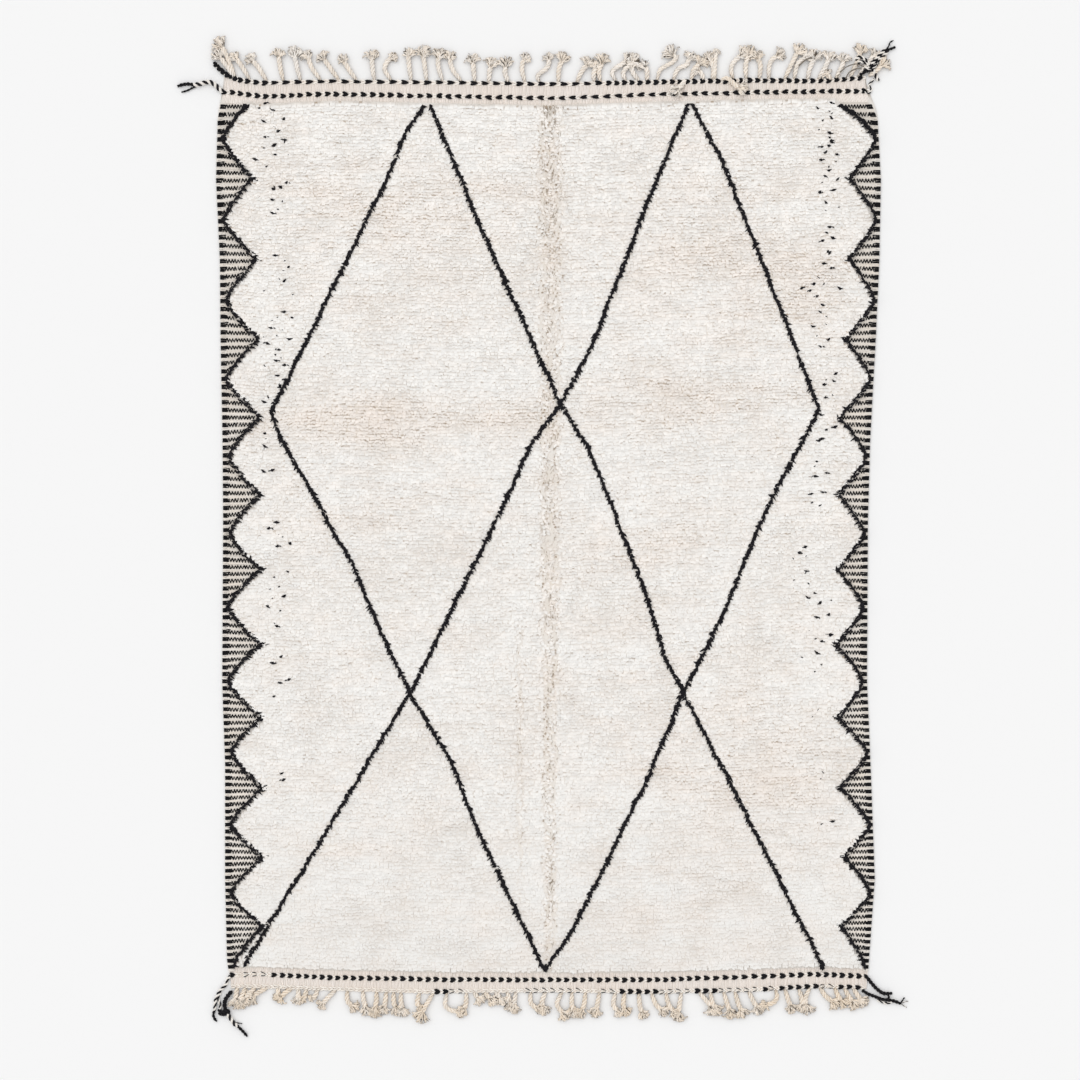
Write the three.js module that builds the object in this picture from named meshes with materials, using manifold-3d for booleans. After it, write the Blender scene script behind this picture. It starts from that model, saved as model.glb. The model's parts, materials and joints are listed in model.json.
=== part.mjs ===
// Beni Ourain pile rug lying flat on a floor, in millimetres, +Z up, +X across its width, +Y to its far end.
// The cloth is one solid with a flat underside: knotted pile between two zigzags, flat weave at the sides and
// ends, and a beaded twined rib across each end. An outer twined rib at each end is a narrow strip of its
// own, parted from the cloth, which carries the knotted tassels and the corner yarns.

import * as THREE from 'three';
import { mergeVertices } from 'three/addons/utils/BufferGeometryUtils.js';
import Module from 'manifold-3d';

const wasm = await Module();
wasm.setup();

// Thicknesses
const pileHeight = 20;
const pileRim = 3; // how far the pile drops at its rim
const weaveHeight = 6; // flat weave at the sides
const bandHeight = 5; // flat weave at the two ends
const selvedgeHeight = 9;

// Twined ribs
const ribHalfWidth = 8;
const beadHeight = 9.5;
const beadDip = 7;
const stitchPitch = 29;
const pileFromRib = 20; // from the inner rib's middle to the first row of knots
const meshGap = 0.3; // between the cloth and each strip
const weldDistance = 0.001;

// Lumps in the pile, wide soft ones and small ones on them: size across, and most that one rises or falls
const wideLump = { across: 90, height: 1.4 };
const smallLump = { across: 45, height: 1 };
const selvedgeLump = { across: 40, height: 1 };

// Pile grid
const rowsPerHalfTooth = 3;
const columnsBesideCrease = 10;
const pileSlope = 9; // width of the pile's sloping side
const rimLock = { across: 30, height: 3 }; // how far the locks at the pile's rim stand in or out
const selvedgeWidth = 13;
const selvedgeRound = 2; // how far its outer side drops
const leastWeave = 2; // flat weave left between the selvedge and a notch of the zigzag

// Zigzag: a tooth is the stretch from one point of the field's edge to the next. Its bends are the points and
// notches by turns, from the far end to the near end, where the weaver's rows were beaten tighter.
const bendsAt = [
  1326, 1224, 1101, 976, 855, 727, 608, 487, 368, 246, 129, 12,
  -100, -216, -331, -444, -556, -662, -772, -886, -984, -1097, -1197, -1302,
];
const toothCount = (bendsAt.length - 1) / 2;
const toothJitter = 4;
const zigzagInset = {
  left: { point: 117, notch: 20 },
  right: { point: 98, notch: 14 },
};

// Lengthwise crease left by folding the rug for storage
const crease = { across: 5, depth: 3.5, farHalfWidth: 38, nearHalfWidth: 14 };

// The cloth's side edges, from the far end to the near end
const sideEdges = [
  { along: 1430, left: -998, right: 990 },
  { along: 1372, left: -1003, right: 986 },
  { along: 1286, left: -1019, right: 1014 },
  { along: 1100, left: -1024, right: 1024 },
  { along: 850, left: -1012, right: 1019 },
  { along: 610, left: -1010, right: 1008 },
  { along: 300, left: -1004, right: 991 },
  { along: 54, left: -1002, right: 984 },
  { along: -440, left: -1005, right: 981 },
  { along: -700, left: -996, right: 992 },
  { along: -1050, left: -996, right: 1005 },
  { along: -1300, left: -990, right: 987 },
  { along: -1410, left: -975, right: 981 },
];

// The four twined ribs bow a little as they cross the rug
const ribLines = [
  { across: -981, farOuter: 1412, farInner: 1371, nearInner: -1347, nearOuter: -1381 },
  { across: -882, farOuter: 1400, farInner: 1357, nearInner: -1344, nearOuter: -1382 },
  { across: -673, farOuter: 1404, farInner: 1366, nearInner: -1354, nearOuter: -1389 },
  { across: -365, farOuter: 1401, farInner: 1359, nearInner: -1360, nearOuter: -1398 },
  { across: 0, farOuter: 1396, farInner: 1352, nearInner: -1362, nearOuter: -1394 },
  { across: 343, farOuter: 1402, farInner: 1364, nearInner: -1361, nearOuter: -1398 },
  { across: 620, farOuter: 1407, farInner: 1370, nearInner: -1352, nearOuter: -1392 },
  { across: 836, farOuter: 1405, farInner: 1373, nearInner: -1344, nearOuter: -1380 },
  { across: 975, farOuter: 1416, farInner: 1374, nearInner: -1350, nearOuter: -1385 },
];

// Tassels lie in groups that were combed the same way. Lean is how far a tassel's tip lies to the right of
// its root, reach how far it lies out from the rib.
const farTassels = [
  { from: -962, to: -873, count: 3, leanFrom: -55, leanTo: -45, reach: 92 },
  { from: -818, to: -708, count: 3, leanFrom: -14, leanTo: -32, reach: 114 },
  { from: -648, to: -595, count: 2, leanFrom: -52, leanTo: -44, reach: 92 },
  { from: -538, to: -490, count: 2, leanFrom: 0, leanTo: 15, reach: 96 },
  { from: -421, to: -273, count: 4, leanFrom: -10, leanTo: -32, reach: 107 },
  { from: -229, to: -79, count: 4, leanFrom: -9, leanTo: 6, reach: 88 },
  { from: -30, to: 33, count: 2, leanFrom: 26, leanTo: 18, reach: 94 },
  { from: 86, to: 156, count: 3, leanFrom: 36, leanTo: 16, reach: 88 },
  { from: 202, to: 336, count: 5, leanFrom: 34, leanTo: 12, reach: 86 },
  { from: 380, to: 502, count: 4, leanFrom: 36, leanTo: 10, reach: 92 },
  { from: 568, to: 681, count: 4, leanFrom: 32, leanTo: 20, reach: 104 },
  { from: 729, to: 870, count: 5, leanFrom: 42, leanTo: 44, reach: 98 },
  { from: 906, to: 944, count: 2, leanFrom: 46, leanTo: 26, reach: 84 },
];
const nearTassels = [
  { from: -952, to: -916, count: 2, leanFrom: 4, leanTo: -12, reach: 62 },
  { from: -874, to: -708, count: 5, leanFrom: -40, leanTo: -26, reach: 46 },
  { from: -658, to: -658, count: 1, leanFrom: -35, leanTo: -35, reach: 56 },
  { from: -620, to: -530, count: 3, leanFrom: 30, leanTo: -10, reach: 70 },
  { from: -478, to: -438, count: 2, leanFrom: 14, leanTo: 4, reach: 62 },
  { from: -396, to: -354, count: 2, leanFrom: -16, leanTo: -34, reach: 74 },
  { from: -315, to: -255, count: 2, leanFrom: 26, leanTo: 2, reach: 62 },
  { from: -216, to: -100, count: 4, leanFrom: -26, leanTo: 18, reach: 52 },
  { from: -57, to: -5, count: 2, leanFrom: 28, leanTo: 12, reach: 64 },
  { from: 35, to: 156, count: 4, leanFrom: 14, leanTo: -14, reach: 74 },
  { from: 205, to: 279, count: 3, leanFrom: 14, leanTo: 14, reach: 72 },
  { from: 318, to: 414, count: 3, leanFrom: 28, leanTo: -8, reach: 74 },
  { from: 467, to: 621, count: 5, leanFrom: 30, leanTo: 22, reach: 72 },
  { from: 690, to: 690, count: 1, leanFrom: -32, leanTo: -32, reach: 52 },
  { from: 729, to: 797, count: 3, leanFrom: 12, leanTo: 8, reach: 74 },
  { from: 838, to: 958, count: 4, leanFrom: 40, leanTo: 16, reach: 62 },
];

// A tassel along its length: twisted warps, the overhand knot, and the frayed brush
const tasselSections = [
  { at: 0, halfWidth: 7, height: 6 },
  { at: 0.3, halfWidth: 7, height: 9 },
  { at: 0.56, halfWidth: 7.5, height: 10 },
  { at: 0.68, halfWidth: 13, height: 19 },
  { at: 0.8, halfWidth: 14, height: 14 },
  { at: 0.92, halfWidth: 18, height: 10 },
  { at: 1, halfWidth: 13, height: 5 },
];
const tasselBow = 9; // sideways bow of a tassel's rope, at random to either side
const tasselDroop = 0.25; // share of its lean that a tassel has at half its reach
const tasselJitter = 6;
const rootJitter = 2;
const tasselsApart = 2.5;
const samplesPerTassel = 24;
const strandTop = 0.6; // share of a strand's width left at its top

// Corner yarns: the twining yarns' loose ends, laid from a root past a bend to a tip. A fat one ends in a
// tuft.
const yarnSections = [
  { at: 0, halfWidth: 5, height: 7 },
  { at: 0.2, halfWidth: 5, height: 8 },
  { at: 0.4, halfWidth: 5, height: 8 },
  { at: 0.6, halfWidth: 5, height: 8 },
  { at: 0.8, halfWidth: 4.5, height: 8 },
  { at: 1, halfWidth: 3, height: 5 },
];
const tuftSections = [
  { at: 0, halfWidth: 8, height: 7 },
  { at: 0.3, halfWidth: 11, height: 12 },
  { at: 0.5, halfWidth: 22, height: 20 },
  { at: 0.68, halfWidth: 14, height: 17 },
  { at: 0.84, halfWidth: 24, height: 13 },
  { at: 1, halfWidth: 14, height: 5 },
];
const knotSections = [
  { at: 0, halfWidth: 7, height: 8 },
  { at: 0.3, halfWidth: 14, height: 17 },
  { at: 0.7, halfWidth: 14, height: 17 },
  { at: 1, halfWidth: 7, height: 8 },
];
const cornerYarns = {
  farLeftTuft: { root: [-985, 1414], bend: [-1022, 1452], tip: [-1006, 1536], sections: tuftSections },
  farLeftTail: { root: [-1010.6, 1371], bend: [-1050, 1418], tip: [-1135, 1384], sections: yarnSections },
  farRightTail: { root: [968, 1415], bend: [1004, 1472], tip: [1066, 1530], sections: yarnSections },
  farRightLoop: { root: [997, 1374], bend: [1036, 1420], tip: [1000, 1462], sections: yarnSections },
  farRightKnot: { root: [984, 1446], bend: [1000, 1460], tip: [1017, 1474], sections: knotSections },
  nearLeftTail: { root: [-970, -1382], bend: [-1008, -1450], tip: [-930, -1534], sections: yarnSections },
  nearLeftLoop: { root: [-988, -1347], bend: [-1044, -1412], tip: [-1020, -1488], sections: yarnSections },
  nearLeftKnot: { root: [-1042, -1452], bend: [-1014, -1462], tip: [-984, -1466], sections: knotSections },
  nearRightTail: { root: [968, -1385], bend: [1006, -1422], tip: [1100, -1436], sections: yarnSections },
  nearRightLoop: { root: [989, -1350], bend: [1020, -1398], tip: [1052, -1404], sections: yarnSections },
  nearRightKnot: { root: [1030, -1400], bend: [1042, -1414], tip: [1052, -1432], sections: knotSections },
};

const ivoryWool = { color: 0xe7e1d9, roughness: 0.95, metalness: 0 };
const warpCotton = { color: 0xd8c8b4, roughness: 0.9, metalness: 0 };
const blackWool = { color: 0x26262a, roughness: 0.92, metalness: 0 };

// A repeatable number from 0 to 1 for any pair of numbers
function chance(i, j) {
  const wave = Math.sin(i * 127.1 + j * 311.7) * 43758.5453;
  return wave - Math.floor(wave);
}

function mix(a, b, t) {
  return a + (b - a) * t;
}

// A column of a table, read between its rows and held at its ends
function readTable(table, key, at, column) {
  const rising = table[0][key] < table[table.length - 1][key];
  const rows = rising ? table : [...table].reverse();
  const next = rows.findIndex((row) => row[key] >= at);
  if (next === 0) return rows[0][column];
  if (next < 0) return rows[rows.length - 1][column];
  const share = (at - rows[next - 1][key]) / (rows[next][key] - rows[next - 1][key]);
  return mix(rows[next - 1][column], rows[next][column], share);
}

// How far soft lumps of a size raise a place
function lumpAt(x, y, { across, height }) {
  const i = Math.floor(x / across);
  const j = Math.floor(y / across);
  const u = THREE.MathUtils.smoothstep(x / across - i, 0, 1);
  const v = THREE.MathUtils.smoothstep(y / across - j, 0, 1);
  const far = mix(chance(i, j + 1), chance(i + 1, j + 1), u);
  const near = mix(chance(i, j), chance(i + 1, j), u);
  return (mix(near, far, v) * 2 - 1) * height;
}

// Joins two rows of points, each sorted from left to right, with upward triangles. Rows of one length are
// joined point to point, so that the zigzags stay clean, and others wherever the next point comes first.
function stitchRows(farRow, nearRow, addTriangle) {
  const paired = farRow.length === nearRow.length;
  let i = 0;
  let j = 0;
  while (i < farRow.length - 1 || j < nearRow.length - 1) {
    const farNext = i < farRow.length - 1 ? farRow[i + 1].x : Infinity;
    const nearNext = j < nearRow.length - 1 ? nearRow[j + 1].x : Infinity;
    if (paired ? i === j : farNext <= nearNext) {
      addTriangle(nearRow[j], farRow[i + 1], farRow[i]);
      i += 1;
    } else {
      addTriangle(nearRow[j], nearRow[j + 1], farRow[i]);
      j += 1;
    }
  }
}

// A closed solid under rows of points that run from the far end to the near end: top, walls and a flat base
function solidUnderRows(rows) {
  const positions = [];
  const addTriangle = (...corners) => corners.forEach((p) => positions.push(p.x, p.y, p.z));
  for (let k = 0; k < rows.length - 1; k += 1) {
    stitchRows(rows[k], rows[k + 1], addTriangle);
  }
  const nearRow = rows[rows.length - 1];
  const rightSide = rows.slice(1, -1).map((row) => row[row.length - 1]).reverse();
  const leftSide = rows.slice(1, -1).map((row) => row[0]);
  const rim = [...nearRow, ...rightSide, ...[...rows[0]].reverse(), ...leftSide];
  const base = rim.map((p) => new THREE.Vector3(p.x, p.y, 0));
  rim.forEach((p, k) => {
    const next = (k + 1) % rim.length;
    addTriangle(base[k], base[next], rim[next]);
    addTriangle(base[k], rim[next], p);
  });
  const flatRim = base.map((p) => new THREE.Vector2(p.x, p.y));
  THREE.ShapeUtils.triangulateShape(flatRim, []).forEach(([a, b, c]) => {
    addTriangle(base[a], base[c], base[b]);
  });
  const geometry = new THREE.BufferGeometry();
  geometry.setAttribute('position', new THREE.Float32BufferAttribute(positions, 3));
  return geometry;
}

// Left to right along a twined rib, at a distance in front of or behind its middle
function ribRow(line, offset, height, pointsPerStitch = 1) {
  const middle = (at) => readTable(ribLines, 'across', at, line);
  const ends = ['left', 'right'].map((side) => readTable(sideEdges, 'along', middle(0), side));
  const count = Math.round((ends[1] - ends[0]) / stitchPitch) * pointsPerStitch;
  return Array.from({ length: count + 1 }, (_, k) => {
    const x = mix(ends[0], ends[1], k / count);
    return new THREE.Vector3(x, middle(x) + offset, height);
  });
}

function beadedRow(line, endHeight) {
  const row = ribRow(line, 0, endHeight, 2);
  row.slice(1, -1).forEach((p, k) => p.setZ([beadHeight, beadDip][k % 2]));
  return row;
}

function ribRows(line, height) {
  return [ribRow(line, ribHalfWidth, height), beadedRow(line, height), ribRow(line, -ribHalfWidth, height)];
}

// How far along the rug a place on the zigzag lies, counted in teeth from the first point
function toothAt(teeth) {
  const bend = Math.min(Math.floor(teeth * 2), bendsAt.length - 2);
  return mix(bendsAt[bend], bendsAt[bend + 1], teeth * 2 - bend);
}

function zigzagAt(teeth, side) {
  const { point, notch } = zigzagInset[side];
  const toNotch = 1 - Math.abs((teeth % 1) * 2 - 1);
  const jitter = (chance(Math.round(teeth * 2), side.length) - 0.5) * 2 * toothJitter;
  return mix(point, notch, toNotch) + jitter * Math.abs(toNotch - 0.5) * 2;
}

function creaseDepth(x, y) {
  const share = THREE.MathUtils.clamp(0.5 - y / (2 * bendsAt[0]), 0, 1);
  const halfWidth = mix(crease.farHalfWidth, crease.nearHalfWidth, share);
  const offside = Math.abs(x - crease.across) / halfWidth;
  return crease.depth * Math.max(0, 1 - offside);
}

// One row across the pile field: selvedge, flat weave, pile and the same again
function pileRow(teeth, along, rimDrop) {
  const edge = (side) => readTable(sideEdges, 'along', along, side);
  const left = edge('left');
  const right = edge('right');
  const pileLeft = left + zigzagAt(teeth, 'left');
  const pileRight = right - zigzagAt(teeth, 'right');
  const lockLeft = pileLeft + pileSlope + lumpAt(left, along, rimLock);
  const lockRight = pileRight - pileSlope + lumpAt(right, along, rimLock);
  const creaseWidth = mix(crease.farHalfWidth, crease.nearHalfWidth, teeth / toothCount);
  const [creaseLeft, creaseRight] = [crease.across - creaseWidth, crease.across + creaseWidth];
  const columns = Array.from({ length: columnsBesideCrease }, (_, k) => k / columnsBesideCrease);
  const across = [
    ...columns.map((share) => mix(lockLeft, creaseLeft, share)),
    creaseLeft,
    crease.across,
    creaseRight,
    ...columns.map((share) => mix(lockRight, creaseRight, share)).reverse(),
  ];
  const field = across.map((x, k) => {
    const rim = k === 0 || k === across.length - 1 ? pileRim : rimDrop;
    const lumps = lumpAt(x, along, wideLump) + lumpAt(x, along, smallLump);
    return new THREE.Vector3(x, along, pileHeight - rim + lumps - creaseDepth(x, along));
  });
  const edgeLump = lumpAt(left, along, selvedgeLump);
  return [
    new THREE.Vector3(left, along, selvedgeHeight - selvedgeRound + edgeLump),
    new THREE.Vector3(left + selvedgeWidth / 2, along, selvedgeHeight + edgeLump),
    new THREE.Vector3(Math.min(left + selvedgeWidth, pileLeft - leastWeave), along, weaveHeight),
    new THREE.Vector3(pileLeft, along, weaveHeight),
    ...field,
    new THREE.Vector3(pileRight, along, weaveHeight),
    new THREE.Vector3(Math.max(right - selvedgeWidth, pileRight + leastWeave), along, weaveHeight),
    new THREE.Vector3(right - selvedgeWidth / 2, along, selvedgeHeight - edgeLump),
    new THREE.Vector3(right, along, selvedgeHeight - selvedgeRound - edgeLump),
  ];
}

// The field's first and last rows follow the inner ribs, so each point keeps its distance from them
function followRib(row, line, offset) {
  return row.map((p) => new THREE.Vector3(p.x, readTable(ribLines, 'across', p.x, line) + offset, p.z));
}

function flattened(row, height) {
  return row.map((p) => new THREE.Vector3(p.x, p.y, height));
}

function rugBodyGeometry() {
  const firstRow = pileRow(0, toothAt(0), pileRim);
  const lastRow = pileRow(toothCount, toothAt(toothCount), pileRim);
  const farSide = (offset) => followRib(firstRow, 'farInner', offset);
  const nearSide = (offset) => followRib(lastRow, 'nearInner', offset);
  const stepCount = toothCount * 2 * rowsPerHalfTooth;
  const middleRows = Array.from({ length: stepCount - 1 }, (_, k) => {
    const teeth = (k + 1) / (2 * rowsPerHalfTooth);
    return pileRow(teeth, toothAt(teeth), 0);
  });
  return solidUnderRows([
    ribRow('farOuter', -ribHalfWidth - meshGap, bandHeight),
    ...ribRows('farInner', bandHeight),
    flattened(farSide(-pileFromRib), bandHeight),
    farSide(-pileFromRib - pileSlope),
    ...middleRows,
    nearSide(pileFromRib + pileSlope),
    flattened(nearSide(pileFromRib), bandHeight),
    ...ribRows('nearInner', bandHeight),
    ribRow('nearOuter', ribHalfWidth + meshGap, bandHeight),
  ]);
}

// A four-sided strand that lies level on the floor along a curve, widened and narrowed by its sections
function strandGeometry(curve, sections) {
  const positions = [];
  const rings = sections.map(({ at, halfWidth, height }) => {
    const middle = curve.getPointAt(at);
    const ahead = curve.getTangentAt(at);
    const side = new THREE.Vector3(-ahead.y, ahead.x, 0).normalize();
    const corner = (across, z) => middle.clone().addScaledVector(side, across * halfWidth).setZ(z);
    return [corner(1, 0), corner(-1, 0), corner(-strandTop, height), corner(strandTop, height)];
  });
  const addTriangle = (...corners) => corners.forEach((p) => positions.push(p.x, p.y, p.z));
  const addQuad = (a, b, c, d) => {
    addTriangle(a, b, c);
    addTriangle(a, c, d);
  };
  for (let k = 0; k < rings.length - 1; k += 1) {
    for (let n = 0; n < 4; n += 1) {
      const m = (n + 1) % 4;
      addQuad(rings[k][n], rings[k + 1][n], rings[k + 1][m], rings[k][m]);
    }
  }
  addQuad(...rings[0]);
  addQuad(...[...rings[rings.length - 1]].reverse());
  const geometry = new THREE.BufferGeometry();
  geometry.setAttribute('position', new THREE.Float32BufferAttribute(positions, 3));
  return geometry;
}

// Each tassel's centre line, one curve for each tassel of each group
function tasselCurves(groups, line, outward) {
  return groups.flatMap((group, g) => Array.from({ length: group.count }, (_, k) => {
    const share = group.count > 1 ? k / (group.count - 1) : 0;
    const jitter = (n) => (chance(g * 7 + k, n + outward) - 0.5) * 2;
    const x = mix(group.from, group.to, share) + jitter(1) * rootJitter;
    const lean = mix(group.leanFrom, group.leanTo, share) + jitter(2) * tasselJitter;
    const reach = group.reach + jitter(3) * tasselJitter;
    const y = readTable(ribLines, 'across', x, line);
    return new THREE.QuadraticBezierCurve3(
      new THREE.Vector3(x, y, 0),
      new THREE.Vector3(x + lean * tasselDroop + jitter(4) * tasselBow, y + outward * reach / 2, 0),
      new THREE.Vector3(x + lean, y + outward * (reach + ribHalfWidth), 0),
    );
  }));
}

// Sections narrowed wherever a neighbour lies closer than the full width needs
function clearSections(curves, k) {
  const neighbours = [curves[k - 1], curves[k + 1]].filter(Boolean);
  const samples = neighbours.flatMap((curve) => curve.getSpacedPoints(samplesPerTassel));
  return tasselSections.map((section) => {
    const middle = curves[k].getPointAt(section.at);
    const nearest = Math.min(...samples.map((p) => p.distanceTo(middle)));
    return { ...section, halfWidth: Math.min(section.halfWidth, (nearest - tasselsApart) / 2) };
  });
}

function cornerYarnGeometry({ root, bend, tip, sections }) {
  const [start, knee, end] = [root, bend, tip].map(([x, y]) => new THREE.Vector3(x, y, 0));
  return strandGeometry(new THREE.CatmullRomCurve3([start, knee, end]), sections);
}

function toSolid(geometry) {
  const welded = mergeVertices(geometry, weldDistance);
  const mesh = new wasm.Mesh({
    numProp: 3,
    vertProperties: welded.getAttribute('position').array,
    triVerts: Uint32Array.from(welded.getIndex().array),
  });
  return new wasm.Manifold(mesh);
}

function fromSolid(solid) {
  const { vertProperties, triVerts } = solid.getMesh();
  const geometry = new THREE.BufferGeometry();
  geometry.setAttribute('position', new THREE.Float32BufferAttribute(vertProperties, 3));
  geometry.setIndex(Array.from(triVerts));
  return geometry;
}

// An outer rib as a strip, with its tassels and corner yarns fused into it
function fringeGeometry({ line, outward, groups, yarns }) {
  const curves = tasselCurves(groups, line, outward);
  const strip = solidUnderRows(ribRows(line, bandHeight));
  const tassels = curves.map((curve, k) => strandGeometry(curve, clearSections(curves, k)));
  const locks = yarns.map((name) => cornerYarnGeometry(cornerYarns[name]));
  const solids = [strip, ...tassels, ...locks].map(toSolid);
  return fromSolid(solids.reduce((whole, solid) => whole.add(solid)));
}

function namedMesh(name, geometry, finish) {
  const mesh = new THREE.Mesh(geometry, new THREE.MeshStandardMaterial(finish));
  mesh.name = name;
  return mesh;
}

const rug = new THREE.Group();
rug.add(namedMesh('rug_body', rugBodyGeometry(), ivoryWool));
rug.add(namedMesh('fringe_far', fringeGeometry({
  line: 'farOuter',
  outward: 1,
  groups: farTassels,
  yarns: ['farLeftTuft', 'farRightTail', 'farRightLoop', 'farRightKnot'],
}), warpCotton));
rug.add(namedMesh('fringe_near', fringeGeometry({
  line: 'nearOuter',
  outward: -1,
  groups: nearTassels,
  yarns: ['nearLeftTail', 'nearLeftLoop', 'nearLeftKnot', 'nearRightTail', 'nearRightLoop', 'nearRightKnot'],
}), warpCotton));
rug.add(namedMesh('corner_yarn', cornerYarnGeometry(cornerYarns.farLeftTail), blackWool));

// The origin is the middle of the whole outline, on the floor
const middle = new THREE.Box3().setFromObject(rug).getCenter(new THREE.Vector3());
rug.position.set(-middle.x, -middle.y, 0);

export default rug;
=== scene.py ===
import json
import math
import time
import bpy
import numpy as np
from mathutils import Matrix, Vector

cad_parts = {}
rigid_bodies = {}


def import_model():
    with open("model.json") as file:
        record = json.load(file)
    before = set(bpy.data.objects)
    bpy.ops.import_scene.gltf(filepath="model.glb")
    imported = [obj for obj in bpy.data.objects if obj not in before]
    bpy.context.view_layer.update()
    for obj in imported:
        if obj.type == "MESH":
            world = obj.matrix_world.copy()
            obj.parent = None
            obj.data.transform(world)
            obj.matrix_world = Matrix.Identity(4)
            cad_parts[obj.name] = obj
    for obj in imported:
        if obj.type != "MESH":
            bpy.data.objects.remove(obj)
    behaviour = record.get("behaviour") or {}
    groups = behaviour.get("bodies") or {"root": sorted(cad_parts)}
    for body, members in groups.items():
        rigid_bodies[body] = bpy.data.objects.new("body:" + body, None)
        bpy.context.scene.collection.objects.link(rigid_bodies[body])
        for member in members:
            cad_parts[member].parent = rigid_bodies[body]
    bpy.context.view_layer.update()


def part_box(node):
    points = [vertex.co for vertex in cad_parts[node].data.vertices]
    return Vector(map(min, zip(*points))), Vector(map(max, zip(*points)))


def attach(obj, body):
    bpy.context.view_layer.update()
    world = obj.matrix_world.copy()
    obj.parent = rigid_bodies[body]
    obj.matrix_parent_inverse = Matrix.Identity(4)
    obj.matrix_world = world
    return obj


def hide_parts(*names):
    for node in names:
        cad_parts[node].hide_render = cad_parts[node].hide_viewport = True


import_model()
startedAt = time.time()
mm = 0.001

# Sizes are in millimetres unless a note says otherwise: x across, y along towards the far end,
# z up from the floor

rug = {
    "clothMiddle": (0.1, 9.04),  # middle of the cloth's outline in the places used here
    "underside": 0.3,
    "bandTop": 3.2,  # plain weave that the end bands' ribs lie on
    "sideTop": 3.8,  # weave that the side wefts lie on
    "bedTop": 14.6,  # where the pile is rooted
    "bedLumps": [(90, 1.4), (45, 1.0)],  # how broad and how high its soft lumps are
    "rimSlope": 14,  # how far inside its edge the pile's bed reaches its height
    "selvedgeWidth": 13,
    "pileFromRib": 20,  # from an inner twined row to the first row of knots
}

sideEdges = {
    "along": [-1410, -1300, -1050, -700, -440, 54, 300, 610, 850, 1100, 1286, 1372, 1430],
    "left": [-975, -990, -996, -996, -1005, -1002, -1004, -1010, -1012, -1024, -1019, -1003, -998],
    "right": [981, 987, 1005, 992, 981, 984, 991, 1008, 1019, 1024, 1014, 981, 975],
}

ribLines = {
    "across": [-981, -882, -673, -365, 0, 343, 620, 836, 975],
    "farOuter": [1412, 1400, 1404, 1401, 1396, 1402, 1407, 1405, 1416],
    "farInner": [1371, 1357, 1366, 1359, 1352, 1364, 1370, 1373, 1374],
    "nearInner": [-1347, -1344, -1354, -1360, -1362, -1361, -1352, -1344, -1350],
    "nearOuter": [-1381, -1382, -1389, -1398, -1394, -1398, -1392, -1380, -1385],
}

zigzag = {
    "bends": [  # points and notches by turns, down the rug
        1326, 1224, 1101, 976, 855, 727, 608, 487, 368, 246, 129, 12,
        -100, -216, -331, -444, -556, -662, -772, -886, -984, -1097, -1197, -1322,
    ],
    "toothJitter": 4,
    "hollow": 1.32,  # above 1 the teeth are hollow-sided and the notches round
    "left": {"firstPoint": 86, "point": 117, "notch": 20, "draw": 4, "inward": 1},
    "right": {"firstPoint": 98, "point": 98, "notch": 14, "draw": 5, "inward": -1},
}

crease = {
    "across": 5,
    "depth": 2.0,
    "farHalfWidth": 48,
    "nearHalfWidth": 22,
    "ragged": 13,  # how far its edges wander from lock to lock
    # a second, faint one
    "faint": {"across": -88, "halfWidth": 16, "far": -160, "near": -1120, "fade": 150, "strength": 0.35},
}

cloth = np.array(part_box("rug_body"))
shift = (cloth[0] + cloth[1])[:2] / 2 / mm - np.array(rug["clothMiddle"])


def placed(points):
    # from the rug's own places to metres in the frame
    return (np.asarray(points, float) + [*shift, 0]) * mm


def pathOf(x, y, z):
    # points from their coordinates, each a number or a row of numbers
    return np.stack(np.broadcast_arrays(x, y, z), 1).astype(float)


def chance(i, j):
    # a repeatable number from 0 to 1 for any pair of numbers
    wave = np.sin(i * 127.1 + j * 311.7) * 43758.5453
    return wave - np.floor(wave)


def swing(i, j):
    # the same from -0.5 to 0.5
    return chance(i, j) - 0.5


def mix(a, b, t):
    return a + (b - a) * t


def smooth(t):
    t = np.clip(t, 0, 1)
    return t * t * (3 - 2 * t)


def lumps(x, y, across, along=None):
    # soft lumps from -1 to 1, of a size across and along
    u, v = x / across, y / (along or across)
    i, j = np.floor(u), np.floor(v)
    s, t = smooth(u - i), smooth(v - j)
    near = mix(chance(i, j), chance(i + 1, j), s)
    far = mix(chance(i, j + 1), chance(i + 1, j + 1), s)
    return mix(near, far, t) * 2 - 1


def edgeAt(side, y):
    return np.interp(y, sideEdges["along"], sideEdges[side])


def inFrom(side, y, inset):
    # a place across the rug, counted inwards from one side's edge
    return edgeAt(side, y) + zigzag[side]["inward"] * inset


def ribAt(line, x):
    return np.interp(x, ribLines["across"], ribLines[line])


def toothPlace(y):
    # how many teeth lie between a place and the first point
    bends = np.array(zigzag["bends"])
    return np.interp(-np.asarray(y, float), -bends, np.arange(len(bends))) / 2


def toothAlong(teeth):
    return np.interp(np.asarray(teeth) * 2, np.arange(len(zigzag["bends"])), zigzag["bends"])


def zigzagInset(side, teeth):
    # how far in the zigzag lies, at a place counted in teeth
    tooth, teeth = zigzag[side], np.asarray(teeth)
    toNotch = 1 - np.abs((teeth % 1) * 2 - 1)
    jitter = swing(np.floor(teeth * 2 + 0.5), tooth["draw"]) * 2 * zigzag["toothJitter"]
    point = np.where(teeth < 0.5, tooth["firstPoint"], tooth["point"])
    hollow = mix(tooth["notch"], point, (1 - toNotch) ** zigzag["hollow"])
    return hollow + jitter * np.abs(toNotch - 0.5) * 2


def zigzagPlace(side, teeth):
    along = toothAlong(teeth)
    return np.stack([inFrom(side, along, zigzagInset(side, teeth)), along], 1)


def zigzagAt(side, y):
    return inFrom(side, y, zigzagInset(side, toothPlace(y)))


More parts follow.
